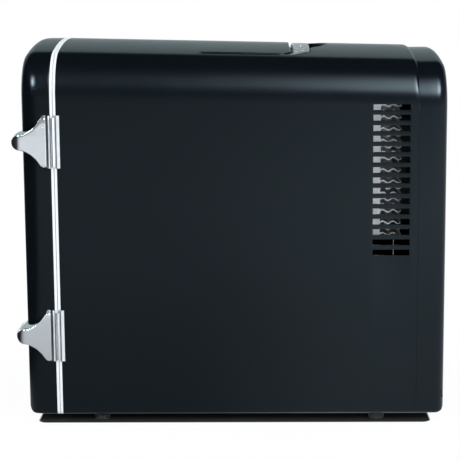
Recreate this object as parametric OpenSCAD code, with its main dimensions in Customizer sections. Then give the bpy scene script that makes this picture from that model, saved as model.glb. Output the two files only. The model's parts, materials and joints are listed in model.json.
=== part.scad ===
// Portable thermoelectric mini fridge with a side-hinged door.
// +Z is up, the door faces -Y and its hinges are on the +X side.
// The origin is on the floor, under the middle of the object's box.

/* [Body] */
// Width of the cabinet and the door
body_w = 190; // [165:1:240]
// Height of the top's crest above the floor, at the door
crest_h = 270.4; // [250:0.1:330]
// Depth of the cabinet, from the door joint to the rear cover
cabinet_d = 254.8; // [235:0.1:310]
// Depth of the rear cover
cover_d = 20.3; // [17:0.1:28]
// Depth of the door, from the door joint to its crown
door_d = 25.2; // [22:0.1:32]
// Angle at which the top falls towards the rear
top_fall = 1.5; // [0:0.1:2]
// Radius of the top's crown across the width
crown_r = 360; // [300:5:600]
// Radius of the top's side corners
corner_r = 31; // [24:1:36]
// Radius along the bottom's side edges
base_r = 3; // [2:0.5:5]
// Height of the feet
foot_h = 5; // [4:0.5:9]
// Wall of the outer mouldings
wall = 2.4; // [2:0.1:3]
// How much lower the rear cover stands than the casing
cover_step = 1.8; // [1:0.1:2.5]
// How far the inlets and screw heads stand out of the rear cover
rear_out = 0.8; // [0.8:0.1:1.6]

/* [Cavity] */
// Insulation at each side, outside of the casing to inside of the liner
side_ins = 27; // [24:0.5:34]
// Insulation below the cavity
base_ins = 27; // [24:0.5:34]
// Insulation above the cavity, under the crest
top_ins = 38.4; // [36:0.1:46]
// Insulation behind the cavity
rear_ins = 36; // [30:0.5:44]
// Depth of the machine space in front of the rear cover
machine_d = 32.5; // [31:0.5:40]
// Wall of the white mouldings
liner_t = 1.8; // [1.5:0.1:2.5]
// Radius of the cavity's corners
liner_r = 9; // [6:0.5:14]
// Thickness of the two white flanges at the door joint
flange_t = 1.8; // [1.5:0.1:2.2]
// Gap between the two flanges
joint_gap = 0.4; // [0.3:0.05:0.6]
// Height of the shelf above the cavity's floor
shelf_h = 124; // [90:1:140]

/* [Vents] */
// Number of slots in each side
vent_count = 15; // [9:1:16]
// Distance from slot to slot
vent_pitch = 7.31; // [6.5:0.01:7.6]
// Height of a slot
vent_h = 4.2; // [3:0.1:4.6]
// Length of a slot
vent_l = 26; // [18:1:26]
// From the rear edge of the casing to the slots
vent_inset = 5.7; // [4.5:0.1:8]

/* [Cooling] */
// Height of the cooling unit's axis above the floor
unit_z = 174.6; // [165:0.1:185]
// Width of the hot heat sink
sink_w = 90; // [80:1:110]
// Height of the hot heat sink
sink_h = 98; // [86:1:110]
// Thickness of the hot heat sink's base
sink_base = 5.8; // [4:0.1:7]
// Length of its fins
fin_l = 15.2; // [12:0.1:18]
// Distance from fin to fin
fin_pitch = 4.3; // [4:0.1:6]
// Thickness of a fin
fin_t = 1.1; // [0.9:0.1:1.6]
// Height of the waves in a fin
fin_wave = 0.9; // [0:0.1:1.2]
// Side of the hot fan
fan_w = 80; // [70:1:92]
// Thickness of the hot fan
fan_d = 25; // [15:1:25]
// Side of the cold fan
cold_fan_w = 60; // [50:1:60]
// Thickness of the cold fan
cold_fan_d = 10; // [10:1:15]

/* [Hinges] */
// Distance between the two hinges
hinge_pitch = 138.6; // [110:0.1:150]
// Height of the lower hinge's middle above the floor
hinge_z = 63; // [50:0.1:75]
// Height of a hinge's leaves
leaf_h = 36.9; // [28:0.1:44]
// Reach of the cabinet leaf across the cabinet's flange
leaf_w = 15.4; // [12:0.1:15.5]
// Thickness of a leaf
leaf_t = 0.8; // [0.6:0.1:1]
// Outer radius of the knuckles
knuckle_r = 1.6; // [1.5:0.1:2]
// Radius of the hinge pins
pin_r = 0.8; // [0.7:0.05:0.9]
// Half the height of a hinge casting at its straight edge
wing_h = 18.4; // [15:0.1:22]
// Thickness of a hinge casting beside the door
wing_t = 3.6; // [3:0.1:4.2]
// How far the castings stand out in front of the door
nose_out = 5; // [4:0.1:9]
// Radius of a casting's nose, seen from the side
nose_r = 7; // [5.5:0.1:9]

/* [Door] */
// Radius of the door's upright front edges
door_side_r = 13.5; // [8:0.5:18]
// Radius of the door's top front edge
door_top_r = 9; // [6:0.5:13]
// Bulge of the door's front
door_crown = 1.8; // [0.5:0.1:2.5]
// Depth by which the door's inner panel enters the cavity
dike_d = 12; // [8:0.5:14]
// Gap between the inner panel and the cavity's walls
dike_gap = 4; // [3.5:0.5:6]

/* [Carry handle] */
// Width over the handle's arms
bail_w = 133; // [120:1:138]
// Width of an arm
bail_arm = 3.2; // [2.8:0.1:5]
// Width of the grip
bail_grip = 12.2; // [10:0.1:15]
// Thickness of the handle
bail_t = 7; // [6:0.1:8]
// From the pivot to the grip's rear edge
bail_l = 72; // [64:0.5:80]
// Distance of the handle's pivot behind the door joint
bail_y = 108.8; // [100:0.1:120]
// Gap round the handle in its well
bail_gap = 0.8; // [0.6:0.1:1.2]
// Slope of the resting handle against the top, its pivot end down, in degrees
bail_tilt = 1.5; // [0:0.1:1.8]
// Depth of the well below the crest
well_d = 17; // [16:0.5:18]
// Reach of the finger well behind the grip
finger_l = 14.5; // [12:0.5:18]

/* [Hidden] */
$fn = 48;

// Clearances
fit = 0.05;      // running fit of a pin in its bore
seat = 0.3;      // loose fit between pieces of one body
overrun = 1;     // how far a cut runs past its piece

// Places along Y
total_d = nose_out + door_d + cabinet_d + cover_d + rear_out;
joint_y = nose_out + door_d - total_d / 2;     // middle of the door joint
liner_y0 = joint_y + joint_gap / 2;            // front of the cabinet's flange
casing_y0 = liner_y0 + flange_t;
casing_y1 = joint_y + cabinet_d;
cover_y1 = casing_y1 + cover_d;
door_y1 = joint_y - joint_gap / 2;             // rear of the door's flange
shell_y1 = door_y1 - flange_t;
door_y0 = joint_y - door_d;                    // crown of the door's front
foam_y1 = casing_y1 - machine_d;
back_y = foam_y1 - rear_ins;                   // inside of the cavity's rear wall

// Cavity
cavity_w = body_w - 2 * side_ins;
cavity_z0 = foot_h + base_ins;
cavity_z1 = crest_h - top_ins;
cavity_mid = (cavity_z0 + cavity_z1) / 2;

// Cooling unit, from the cavity's rear wall to the rear cover
chip_w = 40;
chip_t = 3.8;
sink_y0 = foam_y1 + 4.2;                       // the hot sink stands clear of the foam
fins_y1 = sink_y0 + sink_base + fin_l;
fan_y1 = cover_y1 - wall;
fan_y0 = fan_y1 - fan_d;
cold_w = 76;
cold_base = 4;
cold_fin_l = 13;
cold_y0 = back_y - cold_base - cold_fin_l;
cold_fan_y0 = cold_y0 - cold_fan_d;
cold_cover_w = 96;
cold_cover_y0 = cold_fan_y0 - 3.4;
clamp_x = 28;
clamp_r = 2;

// Hinges
pin_x = body_w / 2 + knuckle_r + 0.3;          // the hinge axis is just outside the side
hinge_zs = [hinge_z, hinge_z + hinge_pitch];
knuckle_h = leaf_h - 2.6;
wing_y1 = joint_y - 4.7;                       // straight rear edge of a casting
wing_y0 = door_y0 - nose_out;                  // tip of its nose
wing_x = body_w / 2 + wing_t + 0.8;            // outermost point of a casting
wing_screw_y = wing_y1 - 3;

// Mains parts in the rear cover
socket_z = foot_h + 40;
mains_x = -38;
dc_x = 2;
switch_x = 38;
lens_x = 62;

// ---------- outlines ----------
function arc(c, r, a0, a1, n) =
    [for (i = [0:n]) let(a = a0 + (a1 - a0) * i / n) [c.x + r * cos(a), c.y + r * sin(a)]];
function middle(list) = [for (i = [1:len(list) - 2]) list[i]];
function curve(a, b, c, n) =
    [for (i = [0:n]) let(t = i / n) (1 - t) * (1 - t) * a + 2 * t * (1 - t) * b + t * t * c];
function across(list) = [for (i = [len(list) - 1:-1:0]) [list[i].x, -list[i].y]];

// Height of the centre of the arch's corner arc, a from the middle
function corner_height(a, h, rc, r) = h - rc + sqrt(pow(rc - r, 2) - a * a);

// Crowned outline of the body in X and Z, inset from the side by s, the top by t and the base by b,
// with the whole top lowered by drop
function arch(s, t, b, base, n = 8, drop = 0) =
    let(w = body_w / 2 - s,
        h = crest_h - drop - t,
        rc = crown_r - t,
        r = max(corner_r - (s + t) / 2, 2),
        a = w - r,
        zc = corner_height(a, h, rc, r),
        lean = atan2(a, zc - h + rc),
        rb = max(base - (s + b) / 2, 0.4),
        zb = foot_h + b)
    concat(
        arc([a, zc], r, 0, 90 - lean, n),
        middle(arc([0, h - rc], rc, 90 - lean, 90 + lean, n)),
        arc([-a, zc], r, 90 + lean, 180, n),
        arc([-w + rb, zb + rb], rb, 180, 270, 3),
        arc([w - rb, zb + rb], rb, 270, 360, 3));

// Extrudes an outline given in X and Z from y0 to y1
module along_y(y0, y1) {
    translate([0, y1, 0]) rotate([90, 0, 0]) linear_extrude(y1 - y0) children();
}

// Extrudes an outline given in Y and Z from x0 to x1
module along_x(x0, x1) {
    translate([x0, 0, 0]) rotate([90, 0, 90]) linear_extrude(x1 - x0) children();
}

// Leans what it holds so that it follows the fall of the top
module follow_top() {
    translate([0, joint_y, crest_h]) rotate([-top_fall, 0, 0]) translate([0, -joint_y, -crest_h])
        children();
}

module rounded_rect(w, h, r, n = 6) {
    polygon(concat(
        arc([w / 2 - r, h / 2 - r], r, 0, 90, n),
        arc([-w / 2 + r, h / 2 - r], r, 90, 180, n),
        arc([-w / 2 + r, -h / 2 + r], r, 180, 270, n),
        arc([w / 2 - r, -h / 2 + r], r, 270, 360, n)));
}

// Solid of the body between two upright planes, with the crest falling to the rear
module body_block(y0, y1, inset = 0, drop = 0) {
    w = body_w / 2 - inset;
    low = foot_h + inset;
    rb = max(base_r - inset, 0.5);
    intersection() {
        follow_top() along_y(y0 - 30, y1 + 30)
            polygon(arch(inset, inset + drop, inset - 60, 1));
        along_y(y0, y1)
            polygon(concat(
                [[w, crest_h + 20], [-w, crest_h + 20]],
                arc([-w + rb, low + rb], rb, 180, 270, 4),
                arc([w - rb, low + rb], rb, 270, 360, 4)));
    }
}

// Rounded opening of the cavity, grown outwards by g
module cavity_outline(g = 0) {
    translate([0, cavity_mid])
        rounded_rect(cavity_w + 2 * g, cavity_z1 - cavity_z0 + 2 * g, liner_r + g);
}

module pan_screw(r, head_r, head_h, l) {
    // Axis along +Z, underside of the head at the origin
    union() {
        translate([0, 0, -l]) cylinder(r = r, h = l + 0.5);
        difference() {
            cylinder(r = head_r, h = head_h);
            for (a = [0, 90])
                rotate([0, 0, a]) translate([-head_r * 0.6, -0.4, head_h * 0.45])
                    cube([head_r * 1.2, 0.8, head_h]);
        }
    }
}

// ---------- carry handle and its well ----------
bail_sink = 0.3;             // from the casing's top down to the grip
bail_z = crest_h - (crown_r - sqrt(pow(crown_r, 2) - pow(bail_w / 2, 2))) - bail_t / 2 - bail_sink;
pivot_y = joint_y + bail_y;
grip_y1 = pivot_y + bail_l;
bail_r = 22;                 // outer radius of the handle's corners, seen from above
bail_pin_r = 1.5;
bail_end = 5.4;              // from the pivot to the front end of the well

function bail_plan(g, y0) =
    let(w = bail_w / 2 + g, r = bail_r + g)
    concat([[-w, y0], [w, y0]],
        arc([w - r, grip_y1 + g - r], r, 0, 90, 8),
        arc([-w + r, grip_y1 + g - r], r, 90, 180, 8));

function island_plan(g, y0) =
    let(w = bail_w / 2 - bail_arm - g, y1 = grip_y1 - bail_grip - g, r = bail_r - bail_grip - g)
    concat([[-w, y0], [w, y0]],
        arc([w - r, y1 - r], r, 0, 90, 6),
        arc([-w + r, y1 - r], r, 90, 180, 6));

module finger_plan(g = 0) {
    r = 55 + g;
    y1 = grip_y1 + finger_l + g;
    half = sqrt(r * r - pow(r - finger_l - bail_grip / 2, 2));
    lean = asin(half / r);
    polygon(arc([0, y1 - r], r, 90 - lean, 90 + lean, 16));
}

module well_plan() {
    difference() {
        polygon(bail_plan(bail_gap, pivot_y - bail_end));
        polygon(island_plan(bail_gap, pivot_y - bail_end - overrun));
    }
}

module top_well() {
    follow_top() translate([0, 0, crest_h - well_d]) {
        linear_extrude(well_d + 20) well_plan();
        linear_extrude(well_d + 20) finger_plan();
    }
}

module well_tub(g) {
    follow_top() translate([0, 0, crest_h - well_d - g]) {
        linear_extrude(well_d + 20) difference() {
            polygon(bail_plan(bail_gap + g, pivot_y - bail_end - g));
            polygon(island_plan(bail_gap + g, pivot_y - bail_end - g - overrun));
        }
        linear_extrude(well_d + 20) finger_plan(g);
    }
}

pin_x0 = bail_w / 2 - bail_arm - 8;      // inner end of a handle pin

// Tilts what belongs to the resting handle about the grip's rear edge
module bail_seat() {
    follow_top() translate([0, grip_y1, crest_h]) rotate([bail_tilt, 0, 0])
        translate([0, -grip_y1, -crest_h]) children();
}

// Tub of the well, joined to the underside of the casing's top
module handle_well() {
    post = 9;
    color("#1d2023") difference() {
        intersection() {
            union() {
                well_tub(wall);
                // Posts behind the well's inner walls that hold the handle's pins
                bail_seat() for (side = [-1, 1])
                    translate([side * (bail_w / 2 - bail_arm - bail_gap - 4), pivot_y, bail_z])
                        cube([8, post, post], center = true);
            }
            body_block(casing_y0, casing_y1, wall + fit);
        }
        top_well();
        bail_seat() for (side = [-1, 1])
            translate([side * pin_x0, pivot_y, bail_z]) rotate([0, side * 90, 0])
                cylinder(r = bail_pin_r, h = 12);
    }
}

module carry_handle() {
    color("gainsboro") bail_seat() difference() {
        union() {
            intersection() {
                translate([0, 0, crest_h - 30]) linear_extrude(60) difference() {
                    polygon(bail_plan(0, pivot_y));
                    polygon(island_plan(0, pivot_y - overrun));
                }
                along_y(pivot_y - 10, grip_y1 + 10)
                    polygon(concat(
                        arc([0, crest_h - crown_r - bail_sink], crown_r, 90 - 11, 90 + 11, 16),
                        arc([0, crest_h - crown_r - bail_sink], crown_r - bail_t, 90 + 11, 90 - 11, 16)));
            }
            for (side = [-1, 1])
                translate([side * (bail_w - bail_arm) / 2, pivot_y, bail_z]) rotate([0, 90, 0])
                    cylinder(r = bail_t / 2 + 0.3, h = bail_arm, center = true);
        }
        translate([0, pivot_y, bail_z]) rotate([0, 90, 0])
            cylinder(r = bail_pin_r + fit, h = bail_w + 10, center = true);
    }
}

module handle_pins() {
    color("silver") bail_seat() for (side = [-1, 1])
        translate([side * pin_x0, pivot_y, bail_z]) rotate([0, side * 90, 0])
            cylinder(r = bail_pin_r, h = 8 + bail_arm);
}

// ---------- outer casing ----------
module vent_slots() {
    vent_z0 = unit_z - 1.2 - vent_pitch * (vent_count - 1) / 2;
    for (i = [0:vent_count - 1], side = [-1, 1])
        translate([side * body_w / 2, casing_y1 - vent_inset - vent_l / 2, vent_z0 + i * vent_pitch])
            cube([6 * wall, vent_l, vent_h], center = true);
}

boss_r = 4;
boss_l = 26;
boss_in = boss_r - 0.5;       // a post grows out of the wall
top_drop = tan(top_fall) * cabinet_d;
corner_x = body_w / 2 - corner_r;
corner_z = corner_height(corner_x, crest_h, crown_r, corner_r) - top_drop;
boss_corner = corner_r - wall - boss_in - 9;
boss_lean = 42;
function boss_places() =
    [for (x = [-1, 1], p = [[body_w / 2 - wall - boss_in, foot_h + 14],
                            [corner_x + boss_corner * cos(boss_lean),
                             corner_z + boss_corner * sin(boss_lean)]])
        [x * p.x, p.y]];

// Ribs that carry the upper posts
module boss_ribs(y0, y1) {
    rib_t = 2;
    for (x = [0, 1])
        mirror([x, 0, 0]) translate([corner_x, y0, corner_z]) rotate([0, -boss_lean, 0])
            translate([boss_corner + boss_r - 0.5, 0, -rib_t / 2])
                cube([corner_r - boss_corner - boss_r, y1 - y0, rib_t]);
}

module outer_casing() {
    color("#1d2023") difference() {
        union() {
            difference() {
                body_block(casing_y0, casing_y1);
                body_block(casing_y0 - overrun, casing_y1 + overrun, wall);
            }
            // Screw posts for the rear cover
            for (p = boss_places())
                intersection() {
                    translate([p.x, casing_y1, p.y]) rotate([90, 0, 0]) cylinder(r = boss_r, h = boss_l);
                    body_block(casing_y0, casing_y1);
                }
            intersection() {
                boss_ribs(casing_y1 - boss_l, casing_y1 - 4);
                body_block(casing_y0, casing_y1);
            }
        }
        top_well();
        vent_slots();
        for (p = boss_places())
            translate([p.x, casing_y1 + overrun, p.y]) rotate([90, 0, 0])
                cylinder(r = 1.3, h = boss_l - 6);
        // Holes for the feet's screws
        for (p = foot_places())
            translate([p.x, p.y, foot_h - overrun]) cylinder(r = 1.3, h = wall + 2 * overrun);
    }
}

// ---------- feet ----------
foot_r = 6;
function foot_places() =
    [for (x = [-1, 1], y = [joint_y + 29.4, casing_y1 - 27.4]) [x * (body_w / 2 - 10), y]];

module feet() {
    color("#151515") for (p = foot_places())
        translate([p.x, p.y, 0]) difference() {
            cylinder(r1 = foot_r - 0.8, r2 = foot_r, h = foot_h);
            translate([0, 0, -overrun]) cylinder(r = 3.2, h = foot_h - 2 + overrun);
            cylinder(r = 1.6, h = foot_h + overrun);
        }
}

module foot_screws() {
    color("silver") for (p = foot_places())
        translate([p.x, p.y, foot_h - 2]) rotate([180, 0, 0]) pan_screw(1.3, 2.8, 1.6, 8);
}

// ---------- cavity ----------
module inner_liner() {
    color("white") difference() {
        union() {
            intersection() {
                body_block(liner_y0, liner_y0 + flange_t);
                along_y(liner_y0 - overrun, casing_y0 + overrun) difference() {
                    translate([0, crest_h / 2]) square([body_w + 20, crest_h + 40], center = true);
                    cavity_outline();
                }
            }
            along_y(casing_y0 - 0.5, back_y + liner_t) difference() {
                cavity_outline(liner_t);
                cavity_outline();
            }
            along_y(back_y, back_y + liner_t) cavity_outline(0.5);
            // Shelf rails, two ribs on each side
            for (side = [-1, 1], dz = [-4.4, 1])
                translate([side * (cavity_w / 2 - 1.4), (joint_y + 24 + back_y - 34) / 2,
                           cavity_z0 + shelf_h + dz])
                    cube([3.4, back_y - joint_y - 58, 2.4], center = true);
        }
        // Rebate for the door gasket
        along_y(liner_y0 - overrun, liner_y0 + 0.9) gasket_ring(1);
        // Seats for the hinge leaves
        for (z = hinge_zs)
            translate([body_w / 2 - leaf_w - 0.2, liner_y0 - overrun, z - leaf_h / 2 - 0.15])
                cube([leaf_w + 0.2 + overrun, leaf_t + overrun, leaf_h + 0.3]);
        for (p = leaf_screw_places())
            translate([p.x, liner_y0, p.y]) rotate([-90, 0, 0]) cylinder(r = 1.3, h = 2 * flange_t);
        // Seats for the strikers
        for (z = striker_zs)
            translate([-body_w / 2 + 6, liner_y0 - overrun, z - 10.2])
                cube([9.4, overrun + 1, 20.4]);
        // Openings for the spacer block and the clamp screws
        translate([0, back_y + liner_t / 2, unit_z])
            cube([chip_w + 2 * seat, liner_t + 4, chip_w + 2 * seat], center = true);
        for (x = [-1, 1], z = [-1, 1])
            translate([x * clamp_x, back_y + liner_t + overrun, unit_z + z * clamp_x])
                rotate([90, 0, 0]) cylinder(r = clamp_r + seat, h = liner_t + 2 * overrun);
        for (p = cold_screw_places())
            translate([p.x, back_y + liner_t + overrun, p.y]) rotate([90, 0, 0])
                cylinder(r = 1.2, h = liner_t + 2 * overrun);
        // Small drain at the bottom rear of the cavity
        translate([0, back_y + liner_t + overrun, cavity_z0 + 8]) rotate([90, 0, 0])
            cylinder(r = 2.5, h = liner_t + 2 * overrun);
    }
}

module cabinet_foam() {
    color("ivory") difference() {
        body_block(casing_y0, foam_y1, wall + fit);
        along_y(casing_y0 - overrun, back_y + liner_t + 0.3) cavity_outline(liner_t + 0.3);
        well_tub(wall + 0.3);
        bail_seat() for (side = [-1, 1])
            translate([side * (bail_w / 2 - bail_arm - bail_gap - 4), pivot_y, bail_z])
                cube([9, 10, 10], center = true);
        translate([0, (back_y + foam_y1) / 2 + 1, unit_z])
            cube([chip_w + 2 * seat, rear_ins + 6, chip_w + 2 * seat], center = true);
        for (x = [-1, 1], z = [-1, 1])
            translate([x * clamp_x, foam_y1 + overrun, unit_z + z * clamp_x]) rotate([90, 0, 0])
                cylinder(r = clamp_r + seat, h = rear_ins + 4);
        for (p = foot_places())
            translate([p.x, p.y, foot_h]) cylinder(r = 2.5, h = 12);
        for (p = leaf_screw_places())
            translate([p.x, casing_y0 - overrun, p.y]) rotate([-90, 0, 0]) cylinder(r = 2, h = 12);
        for (p = cold_screw_places())
            translate([p.x, back_y, p.y]) rotate([-90, 0, 0]) cylinder(r = 2, h = 9);
    }
}

module shelf() {
    w = cavity_w - 1.6;
    d = 120;
    y0 = joint_y + 26;
    color([0.85, 0.88, 0.9]) translate([0, y0, cavity_z0 + shelf_h - 3.2]) difference() {
        union() {
            translate([-w / 2, 0, 0]) cube([w, d, 2.4]);
            // Raised front lip
            translate([-w / 2 + 4, 0, 0]) cube([w - 8, 3, 7]);
        }
        // Air slots
        for (i = [0:8])
            translate([-w / 2 + 16 + i * (w - 32) / 8, 16, -overrun])
                translate([-3, 0, 0]) cube([6, d - 30, 5]);
    }
}

// ---------- cooling unit ----------
// Comb of wavy fins in Y and Z, one closed outline
function fin_side(z0, face, n) =
    [for (i = [0:n]) let(s = face > 0 ? n - i : i, u = s / n)
        [sink_y0 + sink_base + fin_l * u,
         z0 + face * fin_t / 2 * (1 - 0.25 * u) + fin_wave * sin(720 * u)]];
fin_count = floor((sink_h - fin_t) / fin_pitch) + 1;
fin_z0 = unit_z - (fin_count - 1) * fin_pitch / 2;

module hot_heat_sink() {
    comb = [for (i = [0:fin_count - 1], face = [-1, 1], p = across_fin(i, face)) p];
    color("#b9bec0") difference() {
        along_x(-sink_w / 2, sink_w / 2)
            polygon(concat([[sink_y0, unit_z + sink_h / 2], [sink_y0, unit_z - sink_h / 2],
                [sink_y0 + sink_base, unit_z - sink_h / 2]],
                comb, [[sink_y0 + sink_base, unit_z + sink_h / 2]]));
        for (x = [-1, 1], z = [-1, 1])
            translate([x * clamp_x, sink_y0 - overrun, unit_z + z * clamp_x]) rotate([-90, 0, 0])
                cylinder(r = clamp_r + fit, h = sink_base - 1 + overrun);
    }
}
function across_fin(i, face) = fin_side(fin_z0 + i * fin_pitch, face, 16);

module peltier_module() {
    color("white") translate([0, sink_y0 - chip_t / 2, unit_z])
        cube([chip_w, chip_t, chip_w], center = true);
}

module spacer_block() {
    y0 = back_y;
    color("silver") translate([-chip_w / 2, y0, unit_z - chip_w / 2])
        cube([chip_w, sink_y0 - chip_t - y0, chip_w]);
}

module cold_heat_sink() {
    fins = 13;
    pitch = (cold_w - 2) / (fins - 1);
    color("#c5cacc") difference() {
        translate([0, 0, unit_z - cold_w / 2]) linear_extrude(cold_w)
            polygon(concat(
                [[-cold_w / 2, back_y], [cold_w / 2, back_y]],
                [for (i = [fins - 1:-1:0], q = [[1, back_y - cold_base], [1, cold_y0],
                                               [-1, cold_y0], [-1, back_y - cold_base]])
                    [-cold_w / 2 + 1 + i * pitch + q.x * 0.9, q.y]]));
        for (x = [-1, 1], z = [-1, 1])
            translate([x * clamp_x, back_y + overrun, unit_z + z * clamp_x]) rotate([90, 0, 0])
                cylinder(r = clamp_r + fit, h = cold_base + 2 * overrun);
    }
}

module clamp_screws() {
    color("gray") for (x = [-1, 1], z = [-1, 1])
        translate([x * clamp_x, back_y - cold_base + 0.5, unit_z + z * clamp_x]) rotate([-90, 0, 0])
            cylinder(r = clamp_r, h = sink_y0 + sink_base - back_y + cold_base - 2);
}

// Square fan frame with its axis along Y, rear struts and a bearing tube
module fan_frame(w, d, y0, tip, hub, shaft) {
    translate([0, y0 + d, unit_z]) rotate([90, 0, 0]) difference() {
        union() {
            difference() {
                linear_extrude(d) difference() {
                    rounded_rect(w, w, w * 0.05);
                    circle(r = tip + 0.9, $fn = 96);
                }
                // Recess round the outside between the two mounting flanges
                if (d > 18)
                    for (a = [0:90:270])
                        rotate([0, 0, a]) translate([w / 2 - 2.2, -w * 0.3, 4])
                            cube([4, w * 0.6, d - 8]);
            }
            cylinder(r = hub, h = 1.8);
            cylinder(r = shaft + 1.6, h = d * 0.62);
            for (a = [45:90:315])
                rotate([0, 0, a]) translate([hub - 1, -1.3, 0]) cube([tip + 2.4 - hub, 2.6, 1.8]);
        }
        translate([0, 0, -overrun]) cylinder(r = shaft + fit, h = d + 2 * overrun);
        for (x = [-1, 1], z = [-1, 1])
            translate([x * (w / 2 - w * 0.053), z * (w / 2 - w * 0.053), -overrun])
                cylinder(r = 1.7, h = d + 2 * overrun);
    }
}

// Rotor of a fan: hub cap, shaft and pitched blades
module fan_rotor(d, y0, tip, hub, shaft, blades) {
    translate([0, y0 + d, unit_z]) rotate([90, 0, 0]) union() {
        difference() {
            translate([0, 0, 2.4]) cylinder(r = hub, h = d - 3);
            translate([0, 0, 2.4 - overrun]) cylinder(r = hub - 1.5, h = d - 3 - 1.5 + overrun);
        }
        translate([0, 0, 0.4]) cylinder(r = shaft, h = d - 2);
        intersection() {
            translate([0, 0, 2.6]) difference() {
                cylinder(r = tip, h = d - 3.4, $fn = 96);
                translate([0, 0, -overrun]) cylinder(r = hub - 0.6, h = d);
            }
            for (i = [0:blades - 1])
                rotate([0, 0, i * 360 / blades]) translate([0, 0, d / 2]) rotate([42, 0, 0])
                    translate([hub - 1, -d * 0.8, -0.6]) cube([tip - hub + 3, d * 1.6, 1.2]);
        }
    }
}

hot_tip = fan_w / 2 - 2.6;
cold_tip = cold_fan_w / 2 - 2.4;

module hot_fan_frame() {
    color("#202020") fan_frame(fan_w, fan_d, fan_y0, hot_tip, 17, 1.5);
}

module hot_fan_rotor() {
    color("#2a2a2a") fan_rotor(fan_d, fan_y0, hot_tip, 17, 1.5, 7);
}

module cold_fan_frame() {
    color("#e8e8e8") fan_frame(cold_fan_w, cold_fan_d, cold_fan_y0, cold_tip, 12, 1);
}

module cold_fan_rotor() {
    color("#f2f2f2") fan_rotor(cold_fan_d, cold_fan_y0, cold_tip, 12, 1, 9);
}

function cold_screw_places() =
    [for (x = [-1, 1], z = [-1, 1]) [x * (cold_cover_w / 2 - 5), unit_z + z * (cold_cover_w / 2 - 5)]];

module cold_cover() {
    color("white") difference() {
        translate([0, 0, unit_z]) {
            along_y(cold_cover_y0, back_y) difference() {
                rounded_rect(cold_cover_w, cold_cover_w, 6);
                rounded_rect(cold_cover_w - 2 * liner_t, cold_cover_w - 2 * liner_t, 4.2);
            }
            along_y(cold_cover_y0, cold_cover_y0 + liner_t)
                rounded_rect(cold_cover_w - liner_t, cold_cover_w - liner_t, 5);
            for (x = [-1, 1], z = [-1, 1])
                translate([x * (cold_cover_w / 2 - 5), back_y, z * (cold_cover_w / 2 - 5)])
                    rotate([90, 0, 0]) cylinder(r = 4, h = back_y - cold_cover_y0 - 0.5);
        }
        // Round grille of curved slots
        for (ring = [0:4], a = [0:60:300])
            translate([0, cold_cover_y0 - overrun, unit_z]) rotate([-90, 0, 0])
                linear_extrude(liner_t + 2 * overrun) slot_arc(5 + ring * 5, 2.8, a + 6 * ring, 48);
        // Side louvres for the returning air
        for (side = [-1, 1], i = [0:4])
            translate([side * cold_cover_w / 2, back_y - 10, unit_z - 24 + i * 12])
                cube([6, 12, 4], center = true);
        for (p = cold_screw_places())
            translate([p.x, back_y + overrun, p.y]) rotate([90, 0, 0]) {
                cylinder(r = 1.5, h = 60);
                translate([0, 0, back_y - cold_cover_y0 - 3]) cylinder(r = 3, h = 10);
            }
    }
}

// Curved slot of width w on radius r, starting at angle a and spanning sweep degrees
module slot_arc(r, w, a, sweep) {
    polygon(concat(arc([0, 0], r + w / 2, a, a + sweep, 8), arc([0, 0], r - w / 2, a + sweep, a, 8)));
}

module cold_cover_screws() {
    color("silver") for (p = cold_screw_places())
        translate([p.x, cold_cover_y0 + 4.0, p.y]) rotate([90, 0, 0])
            pan_screw(1.2, 2.6, 1.6, back_y - cold_cover_y0 + 3);
}

// ---------- rear cover ----------
// Inset of a rounded edge of radius r at distance d from the face
function edge_inset(r, d) = d >= r ? 0 : r - sqrt(r * r - pow(r - d, 2));

cover_side_r = 8;            // rounding of the cover's upright rear edges
cover_top_r = 6;             // rounding of its top and low rear edges

module cover_body(inset) {
    hull() for (d = concat(cover_side_r * [0, 0.06, 0.2, 0.45, 0.8, 1.1], [cover_d - 0.2]))
        along_y(cover_y1 - inset - d - 0.01, cover_y1 - inset - d)
            polygon(arch(inset + 0.4 + edge_inset(cover_side_r, d), inset + edge_inset(cover_top_r, d),
                         inset + edge_inset(cover_top_r, d), base_r, 6, top_drop + cover_step));
}

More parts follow.
